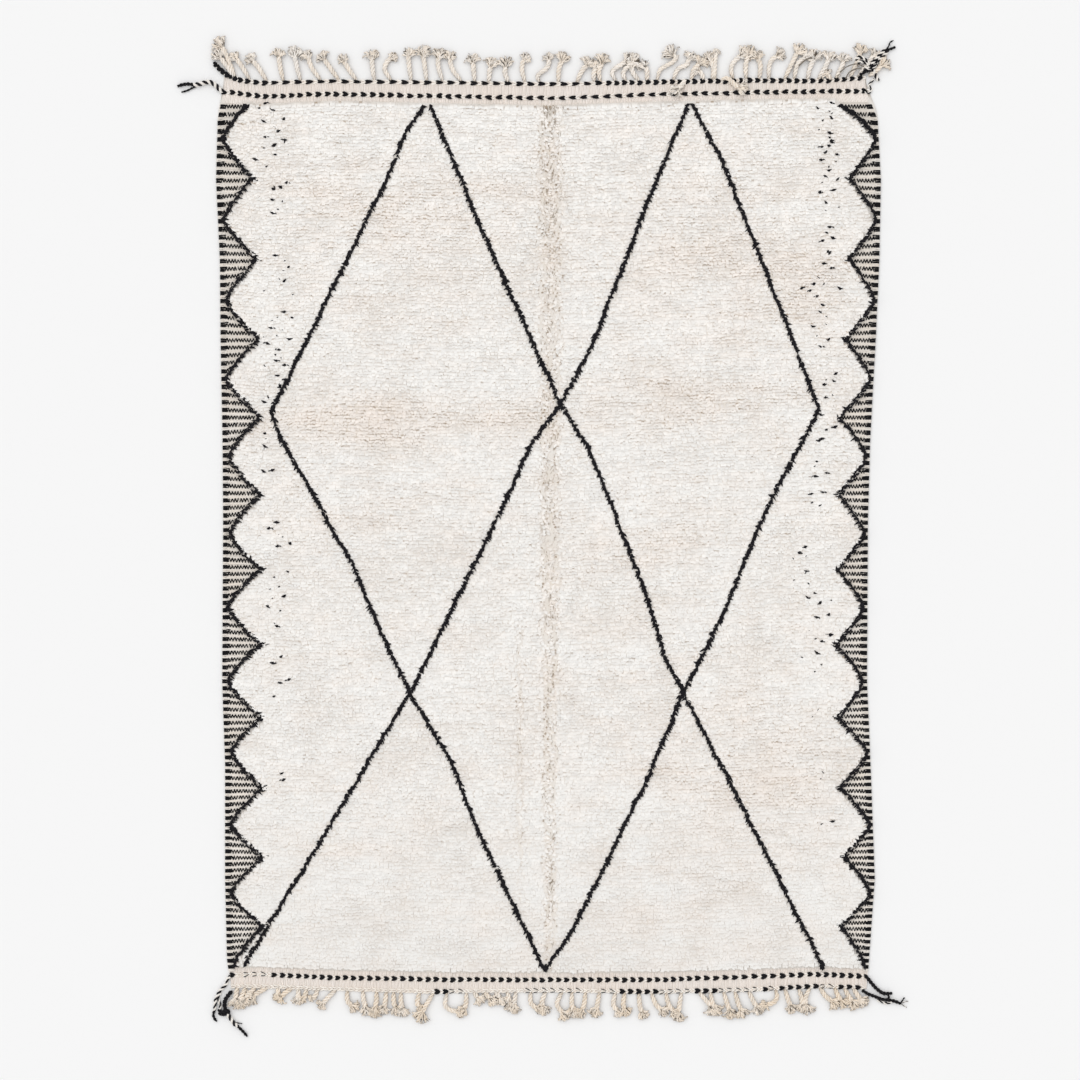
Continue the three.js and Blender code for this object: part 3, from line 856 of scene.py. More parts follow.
def pileKnots():
    # place, yaw, size, tone and warmth of every ivory knot, and how strong the painted shade in the gap past
    # it is
    x, y, row = np.concatenate([knotsInRow(row) for row in range(pile["rows"])]).T
    folded = smooth(creaseShare(x + lumps(x, row * 19, 9, 24) * crease["ragged"], y) * 2.0)
    isDeepShade = (chance(np.round(x), row + 3) < pile["deepShadeShare"]).astype(int)
    rough = smooth(warmthAt(x, y) * 2.2 - 0.4)
    sideways = np.where(lumps(x, y, 7, 26) > 0, 1, -1)
    yaw = sideways * folded * pile["creaseTurn"] + lumps(x, y, 16) * rough * pile["roughTurn"]
    parted = smooth(lumps(x, row * 31, 26, 31) + 0.15 + rough * 0.5)  # places where a row shows its roots
    slim = 1 - pile["creaseSlim"] * folded
    length = (1.0 - pile["partedLength"] * parted) * (1 + pile["creaseLong"] * folded)
    size = np.stack([slim, length, 1 + 0.06 * lumps(x, y, 30)], 1)
    depth = np.interp(y, pile["contrastAt"], pile["contrast"])
    # painted shade: locks where a row parts are a little darker
    tone = pile["tone"] + 0.02 * lumps(x, row * 17, 60, 17) - 0.02 * parted
    tone = tone + pile["toneDraw"] * (chance(np.round(x), row) - 0.05) * depth
    tone = tone + folded * np.array(pile["creaseTone"])[isDeepShade]
    isDash = chance(np.round(x / 2), row + 7) < pile["dashShare"] * (1 + 2 * rough)
    # painted shade in the gap past each lock: a little everywhere, more where rows part, at dashes, and on
    # the crease's darker locks
    shade = pile["calmShade"] + pile["partedShade"] * parted * (0.4 + 0.6 * rough)
    shade = (shade + pile["dashShade"] * isDash) * depth + folded * np.array(pile["creaseShade"])[isDeepShade]
    values = {"yaw": yaw, "size": size, "tone": tone, "warmth": warmthAt(x, y), "shade": shade}
    return pathOf(x, y, bedAt(x, y)), values


def makePile():
    points, values = pileKnots()
    share = np.linspace(0, len(points), len(pile["pieces"]) + 1).astype(int)
    for n, name in enumerate(pile["pieces"]):
        part = slice(share[n], share[n + 1])
        some = {label: value[part] for label, value in values.items()}
        seed = pile["seed"] + n * 10
        layLocks(name, points[part], some, ivoryShapes, "ivory", "ivory_pile", seed=seed, **pile["lay"])


# Black locks, for the lines, the zigzags and the flecks

blackLocks = {
    "lay": {"turn": 14, "tip": 8, "least": 0.85, "most": 1.15},
    "warmth": 0.3,
    "tone": (0.8, 0.5),  # least, and how much chance adds
}


def lockSet(x, y, z, yaw, width, length, height=1.0):
    # black locks as rows of place, yaw and size
    return np.stack(np.broadcast_arrays(x, y, z, yaw, width, length, height), 1).astype(float)


def layBlack(name, locks, seed):
    x, y, _, yaw = locks[:, :4].T
    least, more = blackLocks["tone"]
    tone = least + more * chance(np.round(x), np.round(y))
    values = {"yaw": yaw, "size": locks[:, 4:], "tone": tone, "warmth": blackLocks["warmth"] + 0 * x}
    layLocks(name, locks[:, :3], values, blackShapes, "black", "black_yarn", seed=seed, **blackLocks["lay"])


def makeLozenges():
    # along each line a spine of broad locks, and slim ones that lie out to both sides
    side = blackLine["side"]
    rows = np.arange(0, pile["rows"], blackLine["step"])
    along = np.array([rowAlong(row, 0.0) for row in rows])
    found = []
    for number, name in enumerate(lozenges):
        x = lozengeAt(name, along)
        keep = ~np.isnan(x)
        k, x, y = np.arange(len(rows))[keep], x[keep], along[keep]
        z = bedAt(x, y) + 1
        sway = swing(k, number)
        width = blackLine["spine"] * (1 + 0.5 * lumps(x, y, 18))
        turn, length = sway * blackLine["swayTurn"], blackLine["spineLength"]
        found.append(lockSet(x + sway * blackLine["sway"], y + 5, z, turn, width, length, 0.9))
        for way in (-1, 1):
            bend = swing(k + 60, number * 2 + way)
            turn = way * (side["turn"] + bend * 0.9)
            length = side["length"] + chance(k + 90, number * 3 + way) ** 2 * 0.5
            root, width = x - way * side["rootOut"], side["width"] + bend * 0.8
            found.append(lockSet(root, y + bend * side["spread"], z + 1, turn, width, length))
    layBlack("lozengePile", np.concatenate(found), blackLine["seed"])


# The black zigzag at each side

zigzagPile = {
    "spacing": 6.5,
    "spine": 0.85,  # width of the locks that follow the line
    "spineLength": 0.95,
    "farSpine": 2.0,  # how much wider they are at the far end
    "rise": 0.8,  # their height between the side weave and the pile's bed
    "side": {"rootBehind": 5, "up": 3.5, "spread": 6, "turn": 1.35, "width": 1.3, "length": 0.62},
    "tip": {"spikes": 4, "apart": 4, "back": 6, "up": 8, "width": 1.3, "length": 1.25},
    "seed": 41,
}


def zigzagLeg(number, side, leg, count):
    # locks along the line from one bend to the next, and slim ones that lie in over the pile
    inward, slim = zigzag[side]["inward"], zigzagPile["side"]
    k = np.arange(count)
    x, y = zigzagPlace(side, (leg + (k + 0.5) / count) / 2).T
    nextX, nextY = zigzagPlace(side, (leg + (k + 0.9) / count) / 2).T
    slope = np.arctan2(nextX - x, y - nextY)  # yaw that follows the line
    z = mix(rug["sideTop"], rug["bedTop"], zigzagPile["rise"]) + lumps(x, y, 40)
    bend = swing(k + leg * 31, number * 5 + 2)
    width = zigzagPile["spine"] * (1 + 0.4 * lumps(x, y, 22))
    width = width * np.interp(y, [1080, 1300], [1, zigzagPile["farSpine"]])
    root, length = x + inward * (1 + bend * 4), zigzagPile["spineLength"]
    locks = [lockSet(root, y + 6, z, slope + bend * 0.9, width, length)]
    bend = swing(k + leg * 13, number + 8)
    root, turn = x - inward * slim["rootBehind"], inward * (slim["turn"] + bend * 1.0)
    width = slim["width"] + bend * 0.8
    length = slim["length"] + chance(k + leg * 17, number + 3) ** 2 * 0.55
    locks.append(lockSet(root, y + bend * slim["spread"], z + slim["up"], turn, width, length))
    return locks


def toothTip(number, side, leg, point):
    # a few long spikes where two legs meet
    inward, spike = zigzag[side]["inward"], zigzagPile["tip"]
    k = np.arange(spike["spikes"])
    bend = swing(k, leg + number * 40)
    spread = (k - (spike["spikes"] - 1) / 2) * spike["apart"]
    x, y = point[0] - inward * spike["back"] + bend * 6, point[1] - spread
    turn = inward * (1.57 + bend * 0.5) + spread * 0.03 * inward
    return lockSet(x, y, rug["sideTop"] + spike["up"], turn, spike["width"], spike["length"] + bend * 0.7)


def makeZigzag():
    found = []
    for number, side in enumerate(("left", "right")):
        corners = zigzagPlace(side, np.arange(len(zigzag["bends"])) / 2)
        for leg, (start, end) in enumerate(zip(corners[:-1], corners[1:])):
            count = round(float(np.linalg.norm(end - start)) / zigzagPile["spacing"])
            found += zigzagLeg(number, side, leg, count)
            if leg % 2 == 0:
                found.append(toothTip(number, side, leg, start))
    layBlack("zigzagPile", np.concatenate(found), zigzagPile["seed"])


# Flecks: stray black yarn tied into the field beside the zigzags

flecks = {
    "columns": [
        # from and to along the rug, the column's middle and half width, and how many flecks
        (1335, 1145, -850, 46, 17),
        (1105, 990, -835, 48, 8),
        (870, 740, -820, 55, 8),
        (700, 590, -830, 42, 9),
        (580, 400, -840, 38, 14),
        (350, 170, -865, 18, 6),
        (70, -50, -835, 45, 6),
        (-100, -275, -830, 38, 10),
        (-360, -490, -825, 25, 5),
        (-730, -745, -810, 40, 2),
        (1335, 1130, 860, 30, 18),
        (1130, 1000, 862, 28, 9),
        (960, 820, 860, 28, 8),
        (800, 730, 850, 60, 7),
        (725, 590, 845, 28, 9),
        (515, 420, 855, 25, 6),
        (395, 270, 850, 40, 6),
        (255, 70, 830, 28, 8),
        (-10, -160, 790, 35, 8),
        (-160, -410, 825, 50, 14),
        (-530, -545, 820, 20, 2),
        (-700, -915, 850, 20, 4),
    ],
    "jitter": 28,
    "turn": 1.57,
    "lockUp": 1.5,
    "sunk": 2.5,  # how much deeper the short ones sit
    "seed": 61,
}


def makeFlecks():
    found = []
    for column, (start, end, middle, halfWidth, count) in enumerate(flecks["columns"]):
        k = np.arange(count)
        y = mix(start, end, (k // 2 * 2 + 0.5 + 1.2 * chance(k // 2, column)) / count)
        y = y + swing(k, 8) * flecks["jitter"]
        x = middle + ((k % 2 - 0.5) * 0.7 + swing(k + 9, column) * 1.5) * halfWidth
        bend = swing(k + 50, column)
        reach = chance(k + 70, column)
        yaw = np.where(bend > 0, flecks["turn"], -flecks["turn"]) + bend * 1.6
        z = bedAt(x, y) + flecks["lockUp"]
        width, length = 0.75 + reach * 0.8, 0.42 + reach * 0.55
        found.append(lockSet(x, y, z - flecks["sunk"] * (reach < 0.4), yaw, width, length))
        found.append(lockSet(x + 14 * bend, y + 2, z - 1, -yaw * 0.7, 0.8, 0.55)[reach > 0.5])
    layBlack("fleckLocks", np.concatenate(found), flecks["seed"])


# Yarns, ropes and stitches

def makeYarnTree():
    # each path becomes a yarn of one or more plies twisted about it, thick as the path's points say
    tree, inputs = newTree("spinYarns", {
        "Sides": "Int", "Plies": "Int", "Twist length": "Float", "Ply offset": "Float",
        "Ply thickness": "Float",
    })
    paths = addNode(tree, "GeometryNodeMeshToCurve", {0: inputs["Geometry"]})
    copies = {"Geometry": paths, "Amount": inputs["Plies"]}
    plies = addNode(tree, "GeometryNodeDuplicateElements", copies, domain="SPLINE")
    ply = plies.node.outputs[1]
    named = {"Geometry": plies, "Name": "ply", "Value": ply}
    numbered = addNode(tree, "GeometryNodeStoreNamedAttribute", named, domain="CURVE")
    length = addNode(tree, "GeometryNodeSplineParameter", output="Length")
    share = math2(tree, "DIVIDE", ply, inputs["Plies"])
    turns = math2(tree, "DIVIDE", length, inputs["Twist length"])
    turned = math2(tree, "ADD", math2(tree, "ADD", share, turns), readAttribute(tree, "phase"))
    angle = math2(tree, "MULTIPLY", turned, math.tau)
    tangent = addNode(tree, "GeometryNodeInputTangent")
    normal = addNode(tree, "GeometryNodeInputNormal")
    sideways = vectorMath(tree, "CROSS_PRODUCT", {0: tangent, 1: normal})
    thick = readAttribute(tree, "thick")
    outOf = math2(tree, "MULTIPLY", thick, inputs["Ply offset"])
    parts = []
    for axis, wave in ((normal, "COSINE"), (sideways, "SINE")):
        amount = math2(tree, "MULTIPLY", math2(tree, wave, angle), outOf)
        parts.append(vectorMath(tree, "SCALE", {"Vector": axis, "Scale": amount}))
    offset = vectorMath(tree, "ADD", {0: parts[0], 1: parts[1]})
    moved = addNode(tree, "GeometryNodeSetPosition", {"Geometry": numbered, "Offset": offset})
    ring = {"Resolution": inputs["Sides"], "Radius": 1.0}
    circle = addNode(tree, "GeometryNodeCurvePrimitiveCircle", ring)
    size = math2(tree, "MULTIPLY", thick, inputs["Ply thickness"])
    tube = {"Curve": moved, "Profile Curve": circle, "Scale": size, "Fill Caps": True}
    endTree(tree, addNode(tree, "GeometryNodeCurveToMesh", tube), inputs["Material"])
    return tree


def yarn(points, thick, tone=1.0, warmth=0.3, phase=0.0):
    # one path: its points, kept clear of the floor, its radius at each point, and how it is dyed
    points = np.array(points, float)
    points[:, 2] = np.maximum(points[:, 2], np.asarray(thick) * 1.08 + rug["underside"])
    count = len(points)
    return points, np.stack([np.broadcast_to(v, count) for v in (thick, tone, warmth, phase)], 1)


def spinYarns(name, yarns, look, slot, *nodes, sides=5, plies=1, twist=60, offset=0.0, thickness=1.0):
    edges, start = [], 0
    for path, _ in yarns:
        edges += [(start + k, start + k + 1) for k in range(len(path) - 1)]
        start += len(path)
    values = np.concatenate([values for _, values in yarns]) * [mm, 1, 1, 1]
    points = placed(np.concatenate([points for points, _ in yarns]))
    source = newMesh(name, points, edges, [], dict(zip(("thick", "tone", "warmth", "phase"), values.T)))
    piece = runTree(source, yarnTree, {
        "Sides": sides, "Plies": plies, "Twist length": twist * mm,
        "Ply offset": offset, "Ply thickness": thickness, "Material": materials[look],
    })
    finishPiece(piece, slot, *nodes)


# Side weave: selvedge wraps, wefts and black twined lines

sideWeave = {
    "blocks": 119,  # black blocks down a selvedge
    "firstBlock": 1332,
    "blockPitch": 25.6,
    "pitchShrink": 0.0533,  # the weaver's rows were beaten tighter towards the near end
    "wrapsPerBlock": 7,
    "blackWraps": 4,
    "wrapRadius": 1.9,
    "wrapTop": 7.3,
    "wrapLean": 3.2,
    "blackReach": 21,  # how far black wraps reach in from the edge
    "creamReach": 19,
    "reachDraw": 9,
    "weftRadius": 1.8,
    "weftUp": 0.9,
    "drawIn": 0.16,  # how strongly the lines bend towards a tooth's point
    "strokePitch": 4.5,  # from one slanting stitch to the next
    "strokeRadius": 1.65,
    "strokeHeight": 11.5,
    "strokeTop": 6.6,
    "skipPast": 0.78,  # a stitch is left out where two chances add up past this
}


def blockAlong(block):
    beaten = sideWeave["pitchShrink"] / 2 * block * block
    return sideWeave["firstBlock"] - sideWeave["blockPitch"] * block + beaten


def wrapsDown(side):
    # every wrap of a side: its number, its place in its block, where it lies and how far in the zigzag is
    count = sideWeave["wrapsPerBlock"]
    for n in range(sideWeave["blocks"] * count):
        y = blockAlong(n / count)
        yield n, n % count, y, float(zigzagInset(side, toothPlace(y)))


def drawnIn(side, x, y):
    # a line's place along the rug, bent towards the middle of its tooth as it runs in
    middle = toothAlong(np.round(toothPlace(y)))
    inset = np.abs(x - edgeAt(side, y)) / zigzag[side]["point"]
    return y + (middle - y) * sideWeave["drawIn"] * np.clip(inset, 0, 1)


def makeSelvedges():
    black, cream = [], []
    for side in ("left", "right"):
        for n, inBlock, y, zigzagIn in wrapsDown(side):
            isBlack = inBlock < sideWeave["blackWraps"]
            lean = float(swing(n, 4))
            reach = sideWeave["blackReach" if isBlack else "creamReach"] + lean * sideWeave["reachDraw"]
            radius = sideWeave["wrapRadius"] * (1 + lean * 0.2)
            top = sideWeave["wrapTop"] + lumps(edgeAt(side, y), y, 40) * 0.7
            # up round the edge, over the selvedge and down beside the wefts
            across = np.array([radius, radius * 0.95, 5.2, 11, min(reach, zigzagIn + 2)])
            up = np.array([1.6, top - 2.1, top, mix(6.6, top - 0.7, 0.5), 4.6])
            along = y + lean * sideWeave["wrapLean"] * np.linspace(0, 1, 5)
            path = pathOf(inFrom(side, y, across), along, up)
            tone = 0.85 + 0.3 * chance(n, 9)
            if isBlack:
                black.append(yarn(path, radius * 1.08, tone))
            else:
                cream.append(yarn(path, radius, 0.84 + 0.12 * tone, 0.25 + 0.3 * chance(n, 2)))
    spinYarns("selvedgeBlack", black, "black", "black_yarn", "rug_body", sides=4)
    spinYarns("selvedgeCream", cream, "side", "warp_fringe", "rug_body", sides=4)


def sideStroke(side, block, k, y, start):
    # one slanting black stitch of a block's line, or none
    draw = [float(swing(k * 3 + n, block)) for n in range(3)]
    if draw[0] + draw[1] > sideWeave["skipPast"]:
        return []
    slant = 1 if k % 2 else -1
    half = sideWeave["strokeHeight"] / 2 * (1 + 0.3 * draw[0])
    middle = start + (k + 0.5 + 0.4 * draw[1]) * sideWeave["strokePitch"]
    across = inFrom(side, y, middle + slant * sideWeave["strokePitch"] * np.array([-0.5, 0.5]))
    along = drawnIn(side, across, y) + draw[2] * 1.2 + np.array([half, -half])
    radius = sideWeave["strokeRadius"] * (1 + 0.5 * draw[2])
    return [yarn(pathOf(across, along, sideWeave["strokeTop"] + draw[1]), radius, 0.9 + draw[0])]


def makeSideWefts():
    # cream wefts, with a line of slanting black stitches over the darker ones beside each black block; their
    # darkness is painted shade under the stitches
    wefts, strokes = [], []
    blackCount = sideWeave["blackWraps"]
    for side in ("left", "right"):
        for n, inBlock, y, zigzagIn in wrapsDown(side):
            start, end = sideWeave["creamReach"] - 6, zigzagIn - 1
            if end - start < 6:
                continue
            x = inFrom(side, y, np.linspace(start, end, 3))
            k = np.arange(3)
            z = rug["sideTop"] + sideWeave["weftUp"] + swing(k, n) * 0.5
            tone = 0.94 + 0.12 * chance(n, 5)
            # painted shade: the wefts under the line of black stitches are darker
            if inBlock < blackCount:
                tone = 0.8 if 0 < inBlock < blackCount - 1 else 0.94
            path = pathOf(x, drawnIn(side, x, y) + swing(n, k) * 0.7, z)
            wefts.append(yarn(path, sideWeave["weftRadius"], tone, 0.2 + 0.3 * chance(n, 8)))
        for block in range(sideWeave["blocks"]):
            y = blockAlong(block + (blackCount - 1) / 2 / sideWeave["wrapsPerBlock"])
            start, end = sideWeave["creamReach"] - 3, float(zigzagInset(side, toothPlace(y))) - 2
            for k in range(int(max(0, end - start) / sideWeave["strokePitch"])):
                strokes += sideStroke(side, block, k, y, start)
    spinYarns("sideWefts", wefts, "side", "warp_fringe", "rug_body", sides=4)
    spinYarns("sideStitches", strokes, "black", "black_yarn", "rug_body", sides=4)


# End bands: fine ribs along the rug between the twined rows

bandWeave = {
    "ribPitch": 4.3,
    "ribRadius": 2.1,
    "ribHeight": 2.7,
    "edgeInset": 2,
    "pastOuter": 4,
    "underPile": 13,
    "strip": (0, 0, 0.021, 0.07, 0.07),  # painted light: how much lighter its ends are towards the pile, where they run into the pile's shade
}


def makeBands():
    ribs = []
    k = np.arange(5)
    reach = rug["pileFromRib"] + bandWeave["underPile"]
    for outer, inner, outward in (("farOuter", "farInner", 1), ("nearOuter", "nearInner", -1)):
        left, right = [edgeAt(side, ribAt(outer, 0)) for side in ("left", "right")]
        count = int((right - left) / bandWeave["ribPitch"])
        for n in range(count):
            share = (n + 0.5) / count
            middle = mix(left, right, share)
            top = ribAt(outer, middle) + outward * bandWeave["pastOuter"]
            y = np.linspace(top, ribAt(inner, middle) - outward * reach, 5)
            x = mix(*[inFrom(side, y, bandWeave["edgeInset"]) for side in ("left", "right")], share)
            z = bandWeave["ribHeight"] + swing(k, n) * 0.6
            tone = 0.97 + 0.09 * chance(n, k) + np.array(bandWeave["strip"])
            path = pathOf(x + swing(n, k) * 1.2, y, z)
            ribs.append(yarn(path, bandWeave["ribRadius"], tone, 0.35 + 0.4 * chance(n, 6)))
    spinYarns("bandRibs", ribs, "band", "warp_fringe", "rug_body", sides=4)


# Twined rows: pairs of slanting stitches, black and cream by turns

twinedRows = {
    "farOuter": {
        "pitchAt": [-1025, -980, -940, -820, -420, 150, 180, 1000],
        "pitch": [11, 13, 24, 37, 36, 35, 24, 24],
        "turns": [],  # places where the stitches change their way; they start pointing right
        "black": [(-1100, 1100)],
    },
    "farInner": {
        "pitchAt": [-1000, -780, -360, 0, 150, 560, 850, 1000],
        "pitch": [25, 27, 30, 33, 35, 31, 28, 24],
        "turns": [-356, 882],
        "black": [(-1100, 1100)],
    },
    "nearInner": {
        "pitchAt": [-1000, 420, 470, 780, 830, 1000],
        "pitch": [25, 25, 29, 29, 25, 25],
        "turns": [],
        "black": [(-980, -952), (-855, 1100)],
        "thin": [(-925, -862)],  # black shows between the cream stitches here
    },
    "nearOuter": {
        "pitchAt": [-1000, 1000],
        "pitch": [26, 26],
        "turns": [],
        "black": [(-356, -316), (108, 120), (211, 356), (448, 528), (655, 682), (707, 830), (890, 984)],
        "thin": [(-316, -250), (-75, 108), (150, 211), (356, 448), (528, 655), (682, 707), (830, 890)],
    },
}

twining = {
    "blackShare": 0.66,  # of the pitch
    "jitter": 1.5,
    "lean": 3,
    "plainRadius": 0.6,  # of the radius, for the cream stitches of a row
    "longFlat": 0.78,  # how much flatter the long stitches are
    "thinRadius": 1.5,
    "leg": {  # four places from its tail to its point; two tails lie apart, and the points meet
        "along": [-0.95, -0.45, 0.3, 1.0],
        "tails": 4.1,
        "spread": [1.05, 1.0, 0.65, 0.05],
        "leaning": [-1, -0.4, 0.4, 1],
        "height": 5.4,
        "rise": [-0.8, 0.8, 1.0, -0.8],
        "radius": 4.0,
        "thick": [0.75, 1.1, 1.0, 0.35],
    },
    "creamLeg": {
        "along": [-0.8, -0.2, 0.35, 0.8],
        "tails": 4.8,
        "spread": [1.2, 0.95, 0.55, 0.15],
        "leaning": [0, 0, 0, 0],
        "height": 4.8,
        "rise": [-1.2, 0.3, 0.4, -1.0],
        "radius": 2.8,
        "thick": [0.45, 0.9, 1.0, 0.5],
    },
    "climb": {"x": [-1025, -1012, -994, -974, -950], "rise": [45, 30, 14, 7, 0]},  # the far outer row's end
}


def rowAt(name, x):
    rise = np.interp(x, twining["climb"]["x"], twining["climb"]["rise"]) if name == "farOuter" else 0
    return ribAt(name, x) + rise


def stitchPlaces(name):
    # middles along a row, each with the pitch there
    row = twinedRows[name]
    end = ribAt(name, 0)
    x, last = float(edgeAt("left", end)) + 8, float(edgeAt("right", end)) - 10
    if name == "farOuter":
        x = twining["climb"]["x"][0]
    while x < last:
        pitch = float(np.interp(x, row["pitchAt"], row["pitch"]))
        pitch *= 0.94 + 0.12 * float(chance(round(x), len(name)))
        yield x, pitch
        x += pitch


def stitchLeg(name, kind, middle, half, side, jitter, lean=0):
    # one leg of a stitch: its path and how thick it is along it
    leg = twining[kind]
    x = middle + half * np.array(leg["along"])
    y = rowAt(name, x) + side * leg["tails"] * np.array(leg["spread"]) + jitter
    path = pathOf(x, y + lean * np.array(leg["leaning"]), leg["height"] + np.array(leg["rise"]))
    return path, leg["radius"] * np.array(leg["thick"])


def makeTwining():
    # each stitch is a pair of legs that meet at its point; cream ones fill the gaps
    black, cream = [], []
    for number, (name, row) in enumerate(twinedRows.items()):
        for n, (middle, pitch) in enumerate(stitchPlaces(name)):
            way = -1 if sum(middle > turn for turn in row["turns"]) % 2 else 1
            isBlack, isThin = [
                any(start < middle < end for start, end in row.get(kind, [])) for kind in ("black", "thin")
            ]
            flat = np.interp(pitch, [28, 35], [1, twining["longFlat"]])
            plump = np.interp(pitch, [14, 24], [1.35, 1])  # tight stitches are thicker
            half = way * pitch / 2 * np.interp(pitch, [13, 24], [0.95, twining["blackShare"]])
            draw = chance(n, number * 7 + np.arange(4))
            jitter, lean = (draw[0] - 0.5) * twining["jitter"], (draw[1] - 0.5) * twining["lean"]
            for side in (-1, 1):
                size = 0.85 + 0.3 * draw[2 + (side > 0)]
                path, thick = stitchLeg(name, "leg", middle, half, side * size * flat, jitter, lean)
                thick = thick * size * flat * plump
                if isBlack:
                    black.append(yarn(path, thick, 0.7 + 0.6 * draw[2]))
                else:
                    tone, warmth = (1.13, 0) if isThin else (1.05, 0.1 + 0.3 * draw[2])
                    cream.append(yarn(path, thick * twining["plainRadius"], tone, warmth))
                if isThin and not isBlack:
                    black.append(yarn(path + [-way * 6, side * 1.5, 1.5], twining["thinRadius"]))
                path, thick = stitchLeg(name, "creamLeg", middle + way * pitch / 2, half, side, jitter)
                cream.append(yarn(path, thick, 1.05 + 0.08 * draw[3], 0.05))
    nodes = ("rug_body", "fringe_far", "fringe_near")
    spinYarns("twinedBlack", black, "black", "black_yarn", *nodes)
    spinYarns("twinedCream", cream, "twine", "warp_fringe", *nodes)


# Fringe: warps twisted into ropes, each with a curled, frayed head

farTassels = [
    # place of the root across the rug, then where the rope bends and where its head lies, as places across
    # and distances out from the outer twined row, and the head's size
    (-965, [(-990, 38), (-1018, 76)], 1.25), (-962, [(-986, 60), (-1012, 112)], 1.2),
    (-921, [(-942, 40), (-968, 72)], 1.0), (-866, [(-892, 44), (-919, 72)], 1.0),
    (-816, [(-826, 50), (-832, 92)], 1.0), (-762, [(-776, 54), (-784, 94)], 1.2),
    (-704, [(-730, 46), (-742, 84)], 1.0), (-645, [(-678, 50), (-698, 78)], 1.0),
    (-593, [(-620, 46), (-634, 72)], 0.95), (-537, [(-543, 56), (-543, 84)], 1.1),
    (-485, [(-504, 38), (-494, 66), (-474, 74)], 0.8), (-422, [(-430, 60), (-432, 92)], 1.0),
    (-374, [(-382, 58), (-390, 96)], 1.2), (-325, [(-340, 56), (-334, 90)], 1.2),
    (-269, [(-297, 44), (-306, 84)], 1.1), (-226, [(-232, 54), (-238, 76)], 1.05),
    (-185, [(-180, 42), (-174, 64)], 1.1), (-125, [(-134, 36), (-125, 66)], 1.2),
    (-75, [(-82, 50), (-72, 84)], 0.9), (-29, [(-34, 24), (-8, 46), (2, 66), (-6, 84)], 0.8),
    (31, [(34, 54), (50, 80)], 1.2), (88, [(106, 42), (128, 64)], 1.15),
    (138, [(140, 32), (148, 56)], 0.9), (160, [(156, 40), (171, 74)], 1.15),
    (206, [(196, 34), (222, 54), (250, 74)], 1.1), (239, [(230, 30), (250, 54), (272, 68)], 1.1),
    (276, [(258, 34), (256, 56)], 0.9), (302, [(303, 36), (287, 54)], 1.0),
    (334, [(344, 38), (376, 56), (396, 76), (366, 76)], 1.3), (383, [(398, 38), (426, 52), (434, 82)], 1.05),
    (439, [(448, 36), (475, 64)], 1.15), (476, [(470, 24), (452, 34)], 0.8),
    (505, [(507, 42), (488, 72)], 1.1), (510, [(512, 50), (515, 92)], 0.6),
    (568, [(562, 36), (574, 62), (604, 84)], 1.2), (608, [(607, 44), (616, 92)], 1.3),
    (650, [(652, 44), (640, 80)], 1.1), (679, [(680, 48), (694, 70), (716, 80)], 1.05),
    (726, [(744, 42), (759, 74), (774, 98)], 1.2), (756, [(768, 54), (800, 76)], 0.8),
    (796, [(808, 50), (826, 80)], 1.15), (830, [(852, 42), (867, 76)], 1.15),
    (867, [(862, 12), (856, 26)], 0.8), (885, [(904, 42), (907, 68)], 1.05),
    (929, [(950, 50), (962, 90)], 1.15), (954, [(984, 44), (1006, 78)], 0.9),
    (985, [(1010, 22), (1034, 50)], 1.25),
]

foldedTassels = [
    # two that lie back over the band, in the same form
    (420, [(416, -4), (400, -22), (392, -34)], 1.05), (534, [(552, 6), (578, -18), (600, -26)], 1.1),
]

